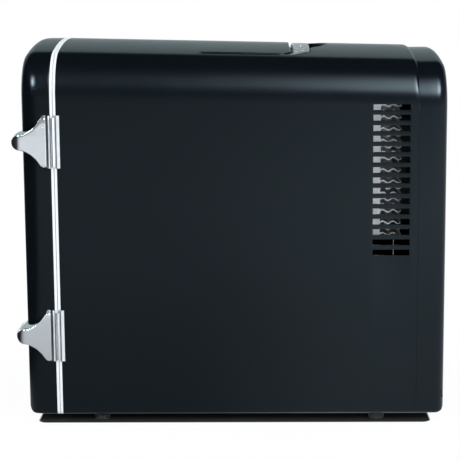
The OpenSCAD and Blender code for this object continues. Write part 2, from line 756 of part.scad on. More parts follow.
module rear_cover() {
    color("#1d2023") difference() {
        union() {
            difference() {
                cover_body(0);
                cover_body(wall);
            }
            // Screw tubes
            for (p = boss_places())
                translate([p.x, casing_y1 + 0.2, p.y]) rotate([-90, 0, 0])
                    cylinder(r = boss_r, h = cover_d - wall / 2);
            // Locating lip inside the casing
            difference() {
                body_block(casing_y1 - 3, casing_y1 + 4, wall + seat);
                body_block(casing_y1 - 4, casing_y1 + 5, wall + seat + 1.6);
                for (p = boss_places())
                    translate([p.x, casing_y1 + 0.2, p.y]) rotate([90, 0, 0])
                        cylinder(r = boss_r + 0.6, h = 10);
            }
        }
        // Screw holes, with the heads sunk into the tubes
        for (p = boss_places())
            translate([p.x, 0, p.y]) rotate([-90, 0, 0]) {
                cylinder(r = 1.7, h = cover_y1 + 10);
                translate([0, 0, casing_y1 + 8]) cylinder(r = 3.1, h = cover_d);
            }
        // Round fan grille of curved slots
        for (ring = [0:5], a = [0:60:300])
            translate([0, cover_y1 + overrun, unit_z]) rotate([90, 0, 0])
                linear_extrude(wall + 2 * overrun) slot_arc(9 + ring * 5.4, 3.4, a + 3, 54);
        for (x = [-1, 1], z = [-1, 1])
            translate([x * (fan_w / 2 - fan_w * 0.053), cover_y1 + overrun,
                       unit_z + z * (fan_w / 2 - fan_w * 0.053)]) rotate([90, 0, 0])
                cylinder(r = 1.7, h = wall + 2 * overrun);
        // Row of low vents
        for (i = [-3:3])
            translate([i * 12, cover_y1 - wall / 2, foot_h + 86]) cube([3.6, wall + 3, 18], center = true);
        // Openings for the inlets, the switch and the lens
        translate([mains_x, cover_y1, socket_z]) cube([26.4, 20, 16.4], center = true);
        translate([dc_x, cover_y1, socket_z]) cube([22.4, 20, 16.4], center = true);
        translate([switch_x, cover_y1, socket_z]) cube([19.4, 20, 13.4], center = true);
        translate([lens_x, cover_y1 + overrun, socket_z]) rotate([90, 0, 0])
            cylinder(r = 2.5, h = wall + 2 * overrun);
    }
}

module cover_screws() {
    color("silver") for (p = boss_places())
        translate([p.x, casing_y1 + 8, p.y]) rotate([-90, 0, 0]) pan_screw(1.3, 2.9, 2, 20);
}

module fan_screws() {
    color("silver") for (x = [-1, 1], z = [-1, 1])
        translate([x * (fan_w / 2 - fan_w * 0.053), cover_y1, unit_z + z * (fan_w / 2 - fan_w * 0.053)])
            rotate([-90, 0, 0]) pan_screw(1.6, 3, rear_out, 12);
}

// ---------- electrics ----------
board_y = casing_y1 - 4;

module power_board() {
    color("#2f6b3c") translate([0, board_y, foot_h + 48]) {
        translate([-58, 0, -36]) cube([116, 1.6, 72]);
        // Transformer, capacitors and a heat spreader
        translate([-34, -22, 6]) cube([30, 22.2, 26]);
        for (x = [10, 24])
            translate([x, 0.2, 18]) rotate([90, 0, 0]) cylinder(r = 6, h = 18);
        translate([36, -16, 2]) cube([3, 16.2, 30]);
        for (x = [-48, 48], z = [-31, 31])
            translate([x, 0.8, z]) rotate([-90, 0, 0])
                cylinder(r = 2.5, h = cover_y1 - wall - board_y - 0.8);
    }
}

module mains_inlet() {
    color("#111111") translate([mains_x, 0, socket_z]) {
        difference() {
            union() {
                along_y(cover_y1, cover_y1 + rear_out) rounded_rect(31, 21, 2);
                along_y(cover_y1 - 17, cover_y1 + 0.5) rounded_rect(26, 16, 1.5);
            }
            // Recess with two round lobes
            along_y(cover_y1 - 13, cover_y1 + 3) two_lobes();
        }
        for (x = [-1, 1])
            translate([x * 4.3, cover_y1 - 13.5, 0]) rotate([-90, 0, 0]) cylinder(r = 1.2, h = 10);
    }
}

// Outline of two lobes joined by a straight bridge
module two_lobes() {
    union() {
        translate([-4.3, 0]) circle(r = 4.3);
        translate([4.3, 0]) circle(r = 4.3);
        square([8.6, 6.4], center = true);
    }
}

module dc_inlet() {
    color("#111111") translate([dc_x, 0, socket_z]) {
        difference() {
            union() {
                along_y(cover_y1, cover_y1 + rear_out) rounded_rect(27, 21, 2);
                along_y(cover_y1 - 17, cover_y1 + 0.5) rounded_rect(22, 16, 1.5);
            }
            along_y(cover_y1 - 13, cover_y1 + 3) rounded_rect(16, 9, 1.2);
        }
        for (x = [-1, 1])
            translate([x * 4 - 1.6, cover_y1 - 13.5, -0.5]) cube([3.2, 10, 1]);
    }
}

module switch_housing() {
    color("#161616") translate([switch_x, 0, socket_z]) difference() {
        union() {
            along_y(cover_y1, cover_y1 + rear_out) rounded_rect(22, 16, 1.5);
            along_y(cover_y1 - 14, cover_y1 + 0.5) rounded_rect(19, 13, 1);
        }
        along_y(cover_y1 - 8, cover_y1 + 3) square([16, 9.6], center = true);
        translate([0, cover_y1 - 2.5, -7]) cylinder(r = 1, h = 14);
    }
}

module mode_rocker() {
    r = 9;
    color("#303030") translate([switch_x, cover_y1 - 2.5, socket_z]) union() {
        translate([0, 0, -4.4]) linear_extrude(8.8)
            polygon(concat([[-7, -1.5], [7, -1.5]],
                curve([7, 3.5], [0, 1.5], [-7, 3.5], 10)));
        translate([0, 0, -6.4]) cylinder(r = 1 - fit, h = 12.8);
        // Finger ribs on the two ends
        for (side = [-1, 1], i = [0:2])
            translate([side * (6.2 - i * 1.5) - 0.3, 2, -3.6]) cube([0.6, 1.5, 7.2]);
    }
}

module indicator_lens() {
    color("#3aa84a") translate([lens_x, cover_y1 - wall - 3, socket_z]) rotate([-90, 0, 0])
        union() {
            cylinder(r = 2.4, h = wall + 3.6);
            cylinder(r = 3.6, h = 3);
        }
}

// ---------- door ----------
// Distance of the door's front from its crown at an inset s from the side
door_plane = door_y0 + door_crown;
door_base_r = 6;             // rounding of the door's low front edge

module door_body(inset, y1) {
    hull() {
        // Flat slices of the crowned front
        for (q = [[70, 0], [45, 0.25], [22, 0.7]])
            along_y(door_y0 + inset + door_crown * q.y, door_y0 + inset + door_crown * q.y + 0.01)
                polygon(arch(inset + q.x, inset + q.x * 1.05, inset + q.x, base_r, 8));
        for (d = door_side_r * [0, 0.05, 0.15, 0.3, 0.5, 0.8, 1.05])
            along_y(door_plane + inset + d, door_plane + inset + d + 0.01)
                polygon(arch(inset + edge_inset(door_side_r, d), inset + edge_inset(door_top_r, d),
                             inset + edge_inset(door_base_r, d), base_r, 8));
        along_y(y1 - 0.01, y1) polygon(arch(inset, inset, inset, base_r, 8));
    }
}

module door_shell() {
    color("#1d2023") difference() {
        door_body(0, shell_y1);
        door_body(wall, shell_y1 + overrun);
        for (z = hinge_zs, dz = [-1, 1])
            translate([body_w / 2 + overrun, wing_screw_y, z + dz * 11]) rotate([0, -90, 0])
                cylinder(r = 1.2, h = wall + 2 * overrun);
        for (z = pull_zs)
            translate([-body_w / 2 - overrun, pull_y, z]) rotate([0, 90, 0])
                cylinder(r = 1.2, h = wall + 2 * overrun);
    }
}

module door_foam() {
    color("ivory") difference() {
        door_body(wall + 3 * fit, shell_y1 - 0.2);
        // Room for the dished inner panel
        along_y(dish_y - liner_t - 0.2, shell_y1 + overrun) dish_outline(liner_t + 0.3);
        for (z = hinge_zs, dz = [-1, 1])
            translate([body_w / 2, wing_screw_y, z + dz * 11]) rotate([0, -90, 0])
                cylinder(r = 2.8, h = 14);
        for (z = pull_zs)
            translate([-body_w / 2, pull_y, z]) rotate([0, 90, 0]) cylinder(r = 2.8, h = 14);
        for (z = striker_zs)
            translate([-body_w / 2 + 6, shell_y1 - 3.4, z - 11]) cube([10, 5, 22]);
    }
}

dish_y = door_y1 - 4;
module dish_outline(g) {
    translate([0, cavity_mid]) rounded_rect(cavity_w - 2 * dike_gap - 28 + 2 * g,
        cavity_z1 - cavity_z0 - 2 * dike_gap - 28 + 2 * g, 6 + g);
}

module dike_outline(g) {
    translate([0, cavity_mid]) rounded_rect(cavity_w - 2 * dike_gap + 2 * g,
        cavity_z1 - cavity_z0 - 2 * dike_gap + 2 * g, liner_r - 1 + g);
}

module gasket_ring(g = 0) {
    translate([0, cavity_mid]) difference() {
        rounded_rect(cavity_w + 20 + 2 * g, cavity_z1 - cavity_z0 + 20 + 2 * g, liner_r + 10 + g);
        rounded_rect(cavity_w + 8 - 2 * g, cavity_z1 - cavity_z0 + 8 - 2 * g, liner_r + 4 - g);
    }
}

module door_liner() {
    color("white") difference() {
        union() {
            // Flange seen as a white line round the door
            intersection() {
                body_block(shell_y1, door_y1);
                along_y(shell_y1 - overrun, door_y1 + overrun) difference() {
                    translate([0, crest_h / 2]) square([body_w + 20, crest_h + 40], center = true);
                    dish_outline(0);
                }
            }
            // Raised dike that enters the cavity
            along_y(door_y1 - 0.5, door_y1 + dike_d) difference() {
                dike_outline(0);
                dish_outline(0);
            }
            // Dished middle
            along_y(dish_y - liner_t, door_y1) difference() {
                dish_outline(liner_t);
                dish_outline(0);
            }
            along_y(dish_y - liner_t, dish_y) dish_outline(0.5);
        }
        // The dike is hollow behind
        along_y(shell_y1 - overrun, door_y1 + dike_d - liner_t) difference() {
            dike_outline(-liner_t);
            dish_outline(liner_t);
        }
        // Groove for the gasket
        along_y(door_y1 - 0.8, door_y1 + 0.5) gasket_ring(0.1);
    }
}

module door_gasket() {
    color("#d9dadb") along_y(door_y1 - 0.8, door_y1 + 0.8) gasket_ring();
}

module door_bar() {
    w = cavity_w - 2 * dike_gap - 28;
    z = cavity_z0 + 58;
    color("white") translate([0, 0, z]) {
        translate([-w / 2, door_y1 + dike_d - 5.6, -6]) cube([w, 2.2, 12]);
        for (x = [-w / 2, w / 2 - 2])
            translate([x, dish_y, -6]) cube([2, door_y1 + dike_d - 5 - dish_y, 12]);
    }
}

striker_zs = [cavity_mid - 60, cavity_mid + 60];

module door_magnets() {
    color("#555555") for (z = striker_zs)
        translate([-body_w / 2 + 7, shell_y1 - 3, z - 10]) cube([8, 3, 20]);
}

module door_strikers() {
    color("silver") for (z = striker_zs)
        translate([-body_w / 2 + 6.2, liner_y0 + 0.1, z - 10]) cube([9, 0.9, 20]);
}

// ---------- hinges ----------
wing_flank = 3.4;            // straight part of a casting's outline, at the leaf
seat_l = 10;                 // how far a door leaf reaches under its casting

// Outline of a casting in Y and Z, upper half, from its straight edge to its nose, drawn in by g
function wing_half(g) =
    concat([[wing_y1, 0], [wing_y1, wing_h - g], [wing_y1 - wing_flank, wing_h - g]],
        middle(curve([wing_y1 - wing_flank, wing_h - g], [wing_y1 - 7.6, wing_h * 0.5 - g],
                     [wing_y1 - 17, nose_r - g], 10)),
        arc([wing_y0 + nose_r, 0], nose_r - g, 105, 180, 8));

module wing_side(g = 0) {
    half = wing_half(g);
    polygon(concat(half, middle(across(half))));
}

// Outline of the part of a door leaf that lies under its casting
module leaf_front(g, y0) {
    intersection() {
        wing_side(g);
        translate([y0, -wing_h]) square([wing_y1 - y0, 2 * wing_h]);
    }
    translate([wing_y1 - 0.5, g - wing_h]) square([0.7, 2 * (wing_h - g)]);
}

// Section of a casting in X and Y, wrapped round the door's front corner
module wing_plan() {
    x0 = body_w / 2;
    rin = door_side_r + 0.1;        // clear of the door's rounded edge
    cx = x0 - door_side_r;
    cy = door_plane + door_side_r;
    rout = rin + wing_t + 0.5;
    tongue = x0 - door_side_r - 10;
    polygon(concat(
        [[x0, wing_y1], [x0, cy]],
        arc([cx, cy], rin, 0, -90, 8),
        [[tongue, door_plane - 0.4 * door_crown], [tongue - 1, wing_y0 + 2.4],
         [tongue + 1.5, wing_y0 + 0.3], [tongue + 5, wing_y0]],
        arc([wing_x - rout * 0.8, wing_y0 + rout * 0.8], rout * 0.8, 270, 360, 8),
        [[wing_x - 0.5, wing_y1 - 4], [wing_x - 1.2, wing_y1 - 0.6], [wing_x - 1.8, wing_y1]]));
}

module wing(z) {
    color("gainsboro") difference() {
        intersection() {
            translate([0, 0, z]) along_x(body_w / 2 - 40, body_w / 2 + 20) wing_side();
            translate([0, 0, z - 30]) linear_extrude(60) wing_plan();
        }
        // Seat for the door leaf
        along_x(body_w / 2 - overrun, body_w / 2 + leaf_t + 0.1)
            translate([0, z]) leaf_front(0.8, wing_y1 - seat_l - 0.2);
        for (dz = [-1, 1])
            translate([body_w / 2 + wing_t - 1.6, wing_screw_y, z + dz * 11]) rotate([0, -90, 0])
                cylinder(r = 1.2, h = 12);
    }
}

module upper_hinge_wing() { wing(hinge_zs[1]); }
module lower_hinge_wing() { wing(hinge_zs[0]); }

module wing_screws() {
    color("silver") for (z = hinge_zs, dz = [-1, 1])
        translate([body_w / 2 - wall - seat, wing_screw_y, z + dz * 11]) rotate([0, -90, 0])
            pan_screw(1.2, 2.4, 1.4, wall + seat + wing_t - 2.2);
}

// Knuckle barrel between two heights measured from the hinge's middle
module knuckle(z, low, high) {
    translate([pin_x, joint_y, z + low]) cylinder(r = knuckle_r, h = high - low);
}

module pin_bore(z, r) {
    translate([pin_x, joint_y, z - leaf_h]) cylinder(r = r, h = 2 * leaf_h);
}

split = knuckle_h / 4;      // the middle knuckle takes half of the barrel
knuckle_gap = 0.15;

module cabinet_leaf(z) {
    low = z - leaf_h / 2;
    color("gainsboro") difference() {
        union() {
            // Plate on the cabinet's flange, and the lip on its side
            translate([body_w / 2 - leaf_w, liner_y0, low]) cube([leaf_w + leaf_t, leaf_t, leaf_h]);
            translate([body_w / 2, liner_y0, low]) cube([leaf_t, 4.2, leaf_h]);
            for (s = [[-knuckle_h / 2, -split - knuckle_gap], [split + knuckle_gap, knuckle_h / 2]]) {
                knuckle(z, s[0], s[1]);
                translate([body_w / 2, joint_y, z + s[0]])
                    cube([knuckle_r, joint_gap / 2 + leaf_t, s[1] - s[0]]);
            }
        }
        // Clear of the door's knuckle
        translate([pin_x, joint_y, z - split - knuckle_gap])
            cylinder(r = knuckle_r + 0.25, h = 2 * split + 2 * knuckle_gap);
        pin_bore(z, pin_r);
        for (p = leaf_screw_places())
            translate([p.x, liner_y0 - overrun, p.y]) rotate([-90, 0, 0])
                cylinder(r = 1.3, h = leaf_t + 2 * overrun);
    }
}

module upper_cabinet_leaf() { cabinet_leaf(hinge_zs[1]); }
module lower_cabinet_leaf() { cabinet_leaf(hinge_zs[0]); }

module door_leaf(z) {
    low = z - leaf_h / 2;
    color("gainsboro") difference() {
        union() {
            // Plate on the door's side, its front part under the casting
            translate([body_w / 2, wing_y1 + 0.1, low])
                cube([leaf_t, door_y1 - 1.6 - wing_y1 - 0.1, leaf_h]);
            along_x(body_w / 2, body_w / 2 + leaf_t) translate([0, z]) leaf_front(1, wing_y1 - seat_l);
            translate([body_w / 2, door_y1 - 2.4, z - split])
                cube([leaf_t, 2.4, 2 * split]);
            knuckle(z, -split, split);
        }
        for (s = [[-leaf_h / 2 - 1, -split], [split, leaf_h / 2 + 1]])
            translate([pin_x, joint_y, z + s[0]]) cylinder(r = knuckle_r + 0.3, h = s[1] - s[0]);
        pin_bore(z, pin_r + fit);
        for (dz = [-1, 1])
            translate([body_w / 2 - overrun, wing_screw_y, z + dz * 11]) rotate([0, 90, 0])
                cylinder(r = 1.3, h = leaf_t + 2 * overrun);
    }
}

module upper_door_leaf() { door_leaf(hinge_zs[1]); }
module lower_door_leaf() { door_leaf(hinge_zs[0]); }

module hinge_pins() {
    color("silver") for (z = hinge_zs)
        translate([pin_x, joint_y, z - knuckle_h / 2]) cylinder(r = pin_r, h = knuckle_h);
}

function leaf_screw_places() =
    [for (z = hinge_zs, dz = [-1, 1]) [body_w / 2 - 10, z + dz * leaf_h / 4]];

module leaf_screws() {
    color("silver") for (p = leaf_screw_places())
        translate([p.x, liner_y0 + 0.1, p.y]) rotate([-90, 0, 0]) cylinder(r = 1.3, h = 10);
}

// ---------- door pull ----------
pull_y = wing_screw_y;
pull_z = hinge_z + hinge_pitch / 2;
pull_zs = [pull_z - 24, pull_z + 24];

module door_pull() {
    color("gainsboro") difference() {
        intersection() {
            mirror([1, 0, 0]) translate([0, 0, pull_z - 45]) linear_extrude(90) wing_plan();
            translate([0, 0, pull_z]) along_x(-body_w / 2 - 20, -body_w / 2 + 40) pull_side();
        }
        for (z = pull_zs)
            translate([-body_w / 2 - wing_t + 1.6, pull_y, z]) rotate([0, 90, 0])
                cylinder(r = 1.2, h = 12);
    }
}

// Outline of the pull in Y and Z: a long plate that narrows to a nose
module pull_side() {
    h = 34;
    half = concat([[wing_y1, 0], [wing_y1, h], [wing_y1 - 3.4, h]],
        middle(curve([wing_y1 - 3.4, h], [wing_y1 - 8, h * 0.5], [wing_y1 - 17, nose_r + 5], 10)),
        arc([wing_y0 + nose_r + 5, 0], nose_r + 5, 105, 180, 8));
    polygon(concat(half, middle(across(half))));
}

module pull_screws() {
    color("silver") for (z = pull_zs)
        translate([-body_w / 2 + wall + seat, pull_y, z]) rotate([0, 90, 0])
            pan_screw(1.2, 2.4, 1.4, wall + seat + wing_t - 2.2);
}

outer_casing();
handle_well();
inner_liner();
cabinet_foam();
rear_cover();
cover_screws();
hot_heat_sink();
peltier_module();
spacer_block();
cold_heat_sink();
clamp_screws();
hot_fan_frame();
hot_fan_rotor();
fan_screws();
cold_fan_frame();
cold_fan_rotor();
cold_cover();
cold_cover_screws();
power_board();
mains_inlet();
dc_inlet();
switch_housing();
mode_rocker();
indicator_lens();
shelf();
feet();
foot_screws();
upper_cabinet_leaf();
lower_cabinet_leaf();
hinge_pins();
leaf_screws();
upper_door_leaf();
lower_door_leaf();
upper_hinge_wing();
lower_hinge_wing();
wing_screws();
door_shell();
door_foam();
door_liner();
door_gasket();
door_bar();
door_magnets();
door_strikers();
door_pull();
pull_screws();
carry_handle();
handle_pins();
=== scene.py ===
import json
import math
import bmesh
import bpy
from mathutils import Matrix, Vector


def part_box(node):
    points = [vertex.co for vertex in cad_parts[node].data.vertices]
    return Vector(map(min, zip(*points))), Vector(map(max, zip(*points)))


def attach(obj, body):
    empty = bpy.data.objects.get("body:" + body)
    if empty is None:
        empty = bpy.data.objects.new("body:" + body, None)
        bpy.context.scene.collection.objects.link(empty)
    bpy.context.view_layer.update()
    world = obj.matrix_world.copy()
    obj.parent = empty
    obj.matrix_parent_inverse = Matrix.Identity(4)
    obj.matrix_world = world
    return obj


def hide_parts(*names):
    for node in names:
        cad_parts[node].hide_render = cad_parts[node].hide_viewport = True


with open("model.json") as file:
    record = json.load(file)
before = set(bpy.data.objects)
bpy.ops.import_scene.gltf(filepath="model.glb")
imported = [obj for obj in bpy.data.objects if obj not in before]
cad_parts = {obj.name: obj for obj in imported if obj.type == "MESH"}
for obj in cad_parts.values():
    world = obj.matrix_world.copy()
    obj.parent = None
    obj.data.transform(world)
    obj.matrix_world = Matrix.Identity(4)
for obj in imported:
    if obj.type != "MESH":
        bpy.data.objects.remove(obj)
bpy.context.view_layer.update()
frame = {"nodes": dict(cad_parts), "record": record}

nodes = frame["nodes"]
scene = bpy.context.scene
mm = 0.001
print("frame loaded:", len(nodes), "nodes")

# where the CAD pieces are
casingLow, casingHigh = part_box("outer_casing")
shellLow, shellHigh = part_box("door_shell")
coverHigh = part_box("rear_cover")[1]
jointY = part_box("inner_liner")[0].y - 0.2 * mm  # middle of the door joint


# outlines and lofts
bodyShape = {
    "halfWidth": casingHigh.x,
    "crest": shellHigh.z,
    "floor": casingLow.z,
    "crownRadius": 360 * mm,
    "cornerRadius": 31 * mm,
    "cornerShare": 0.35,
    "baseRadius": 3 * mm,
    "fall": math.tan(math.radians(1.5)),
    "cornerSteps": 18,
    "crownSteps": 36,
    "footSteps": 5,
    "leastCorner": 2 * mm,
    "leastFoot": 0.4 * mm,
    "levelGap": 0.05 * mm,  # a level stays this far under the corner's start
}


def arcPoints(centre, radius, start, end, steps):
    angles = [math.radians(start + (end - start) * i / steps) for i in range(steps + 1)]
    return [(centre[0] + radius * math.cos(a), centre[1] + radius * math.sin(a)) for a in angles]


def bodyOutline(side=0.0, top=0.0, base=0.0, drop=0.0, levels=()):
    # closed outline in x and z, from the right corner over the crown to the right side again
    shape = bodyShape
    halfWidth = shape["halfWidth"] - side
    crest = shape["crest"] - drop - top
    crown = shape["crownRadius"] - top
    corner = max(shape["cornerRadius"] - (side + top) * shape["cornerShare"], shape["leastCorner"])
    reach = halfWidth - corner
    cornerZ = crest - crown + math.sqrt((crown - corner) ** 2 - reach ** 2)
    lean = math.degrees(math.atan2(reach, cornerZ - crest + crown))
    foot = max(shape["baseRadius"] - (side + base) / 2, shape["leastFoot"])
    low = shape["floor"] + base
    levels = [min(z, cornerZ - shape["levelGap"]) for z in levels]
    points = arcPoints((reach, cornerZ), corner, 0, 90 - lean, shape["cornerSteps"])
    points += arcPoints((0, crest - crown), crown, 90 - lean, 90 + lean, shape["crownSteps"])[1:-1]
    points += arcPoints((-reach, cornerZ), corner, 90 + lean, 180, shape["cornerSteps"])
    points += [(-halfWidth, z) for z in reversed(levels)]
    points += arcPoints((-halfWidth + foot, low + foot), foot, 180, 270, shape["footSteps"])
    points += arcPoints((halfWidth - foot, low + foot), foot, 270, 360, shape["footSteps"])
    points += [(halfWidth, z) for z in levels]
    return points


def ringAt(y, outline):
    return [Vector((x, y, z)) for x, z in outline]


def fallAt(y):
    return bodyShape["fall"] * (y - jointY)


def topAt(x, y):
    # height of the crowned top at a place seen from above
    crown = bodyShape["crownRadius"]
    return bodyShape["crest"] - crown + math.sqrt(crown ** 2 - x ** 2) - fallAt(y)


def vertsOf(geometry):
    return [item for item in geometry if isinstance(item, bmesh.types.BMVert)]


def pairsOf(row):
    return zip(row, row[1:] + row[:1])


def loft(rings):
    # the first ring is drawn with edges, the others are extruded from it
    bm = bmesh.new()
    row = [bm.verts.new(p) for p in rings[0]]
    edges = [bm.edges.new(pair) for pair in pairsOf(row)]
    rows = [row]
    for ring in rings[1:]:
        fresh = set(vertsOf(bmesh.ops.extrude_edge_only(bm, edges=edges)["geom"]))
        partner = {v: next(e.other_vert(v) for e in v.link_edges if e.other_vert(v) in fresh) for v in row}
        row = [partner[v] for v in row]
        for vert, place in zip(row, ring):
            vert.co = place
        edges = [bm.edges.get(pair) for pair in pairsOf(row)]
        rows.append(row)
    return bm, rows


def capRing(bm, row):
    bmesh.ops.contextual_create(bm, geom=[bm.edges.get(pair) for pair in pairsOf(row)])


def faceOutwards(bm):
    bmesh.ops.recalc_face_normals(bm, faces=bm.faces)


def addPiece(name, bm, material, smooth=30):
    mesh = bpy.data.meshes.new(name)
    bm.to_mesh(mesh)
    bm.free()
    mesh.shade_smooth()
    mesh.set_sharp_from_angle(angle=math.radians(smooth))
    mesh.materials.append(material)
    piece = bpy.data.objects.new(name, mesh)
    scene.collection.objects.link(piece)
    return piece


def addModifier(piece, kind, settings):
    modifier = piece.modifiers.new(kind.title(), kind)
    for key, value in settings.items():
        setattr(modifier, key, value)
    return modifier


def bakeModifiers(piece):
    # the modifiers' result becomes the piece's own mesh
    graph = bpy.context.evaluated_depsgraph_get()
    mesh = bpy.data.meshes.new_from_object(piece.evaluated_get(graph))
    piece.modifiers.clear()
    old, piece.data = piece.data, mesh
    bpy.data.meshes.remove(old)
    return piece


def cutWith(piece, cutter, operation="DIFFERENCE"):
    addModifier(piece, "BOOLEAN", {"operation": operation, "object": cutter, "solver": "EXACT"})
    bakeModifiers(piece)
    bpy.data.objects.remove(cutter)


def growPrism(bm, corners, move):
    # closed prism over a flat outline
    face = bm.faces.new([bm.verts.new(corner) for corner in corners])
    grown = bmesh.ops.extrude_face_region(bm, geom=[face])["geom"]
    bmesh.ops.translate(bm, verts=vertsOf(grown), vec=move)


def cutterPiece(name, bm):
    faceOutwards(bm)
    mesh = bpy.data.meshes.new(name)
    bm.to_mesh(mesh)
    bm.free()
    cutter = bpy.data.objects.new(name, mesh)
    scene.collection.objects.link(cutter)
    return cutter


# materials
def hexColor(code):
    parts = [int(code[i:i + 2], 16) / 255 for i in (1, 3, 5)]
    return tuple(c / 12.92 if c <= 0.04045 else ((c + 0.055) / 1.055) ** 2.4 for c in parts) + (1.0,)


def addNode(tree, kind, settings=None, links=None):
    node = tree.nodes.new(kind)
    for key, value in (settings or {}).items():
        if isinstance(key, int) or key in node.inputs:
            node.inputs[key].default_value = value
        else:
            setattr(node, key, value)
    for key, (source, output) in (links or {}).items():
        tree.links.new(source.outputs[output], node.inputs[key])
    return node


def startMaterial(name):
    material = bpy.data.materials.new(name)
    material.use_nodes = True
    tree = material.node_tree
    shader = tree.nodes["Principled BSDF"]
    place = addNode(tree, "ShaderNodeTexCoord")
    return material, tree, shader, place


def surfaceMaterial(name, look):
    # grain: size of the fine texture, cloud: size of the uneven patches, both in metres
    material, tree, shader, place = startMaterial(name)
    grain = addNode(tree, "ShaderNodeTexNoise", {"Scale": 1 / look["grain"], "Detail": 3.0, "Roughness": 0.6},
                    {"Vector": (place, "Object")})
    cloud = addNode(tree, "ShaderNodeTexNoise", {"Scale": 1 / look["cloud"], "Detail": 2.0, "Roughness": 0.5},
                    {"Vector": (place, "Object")})
    blend = addNode(tree, "ShaderNodeMix", {"data_type": "FLOAT", 0: 0.5},
                    {2: (grain, "Fac"), 3: (cloud, "Fac")})
    tones = {"data_type": "RGBA", 6: hexColor(look["dark"]), 7: hexColor(look["light"])}
    colour = addNode(tree, "ShaderNodeMix", tones, {0: (blend, 0)})
    rough = addNode(tree, "ShaderNodeMapRange", {"From Min": 0.3, "From Max": 0.7, "To Min": look["rough"][0],
                                                 "To Max": look["rough"][1]}, {"Value": (blend, 0)})
    bump = addNode(tree, "ShaderNodeBump", {"Strength": 1.0, "Distance": look["depth"]},
                   {"Height": (grain, "Fac")})
    last = bump
    if look.get("wave"):
        last = addNode(tree, "ShaderNodeBump", {"Strength": 1.0, "Distance": look["wave"]},
                       {"Height": (cloud, "Fac"), "Normal": (bump, "Normal")})
    tree.links.new(colour.outputs[2], shader.inputs["Base Color"])
    tree.links.new(rough.outputs[0], shader.inputs["Roughness"])
    tree.links.new(last.outputs["Normal"], shader.inputs["Normal"])
    for key, value in look.get("shader", {}).items():
        shader.inputs[key].default_value = value
    return material


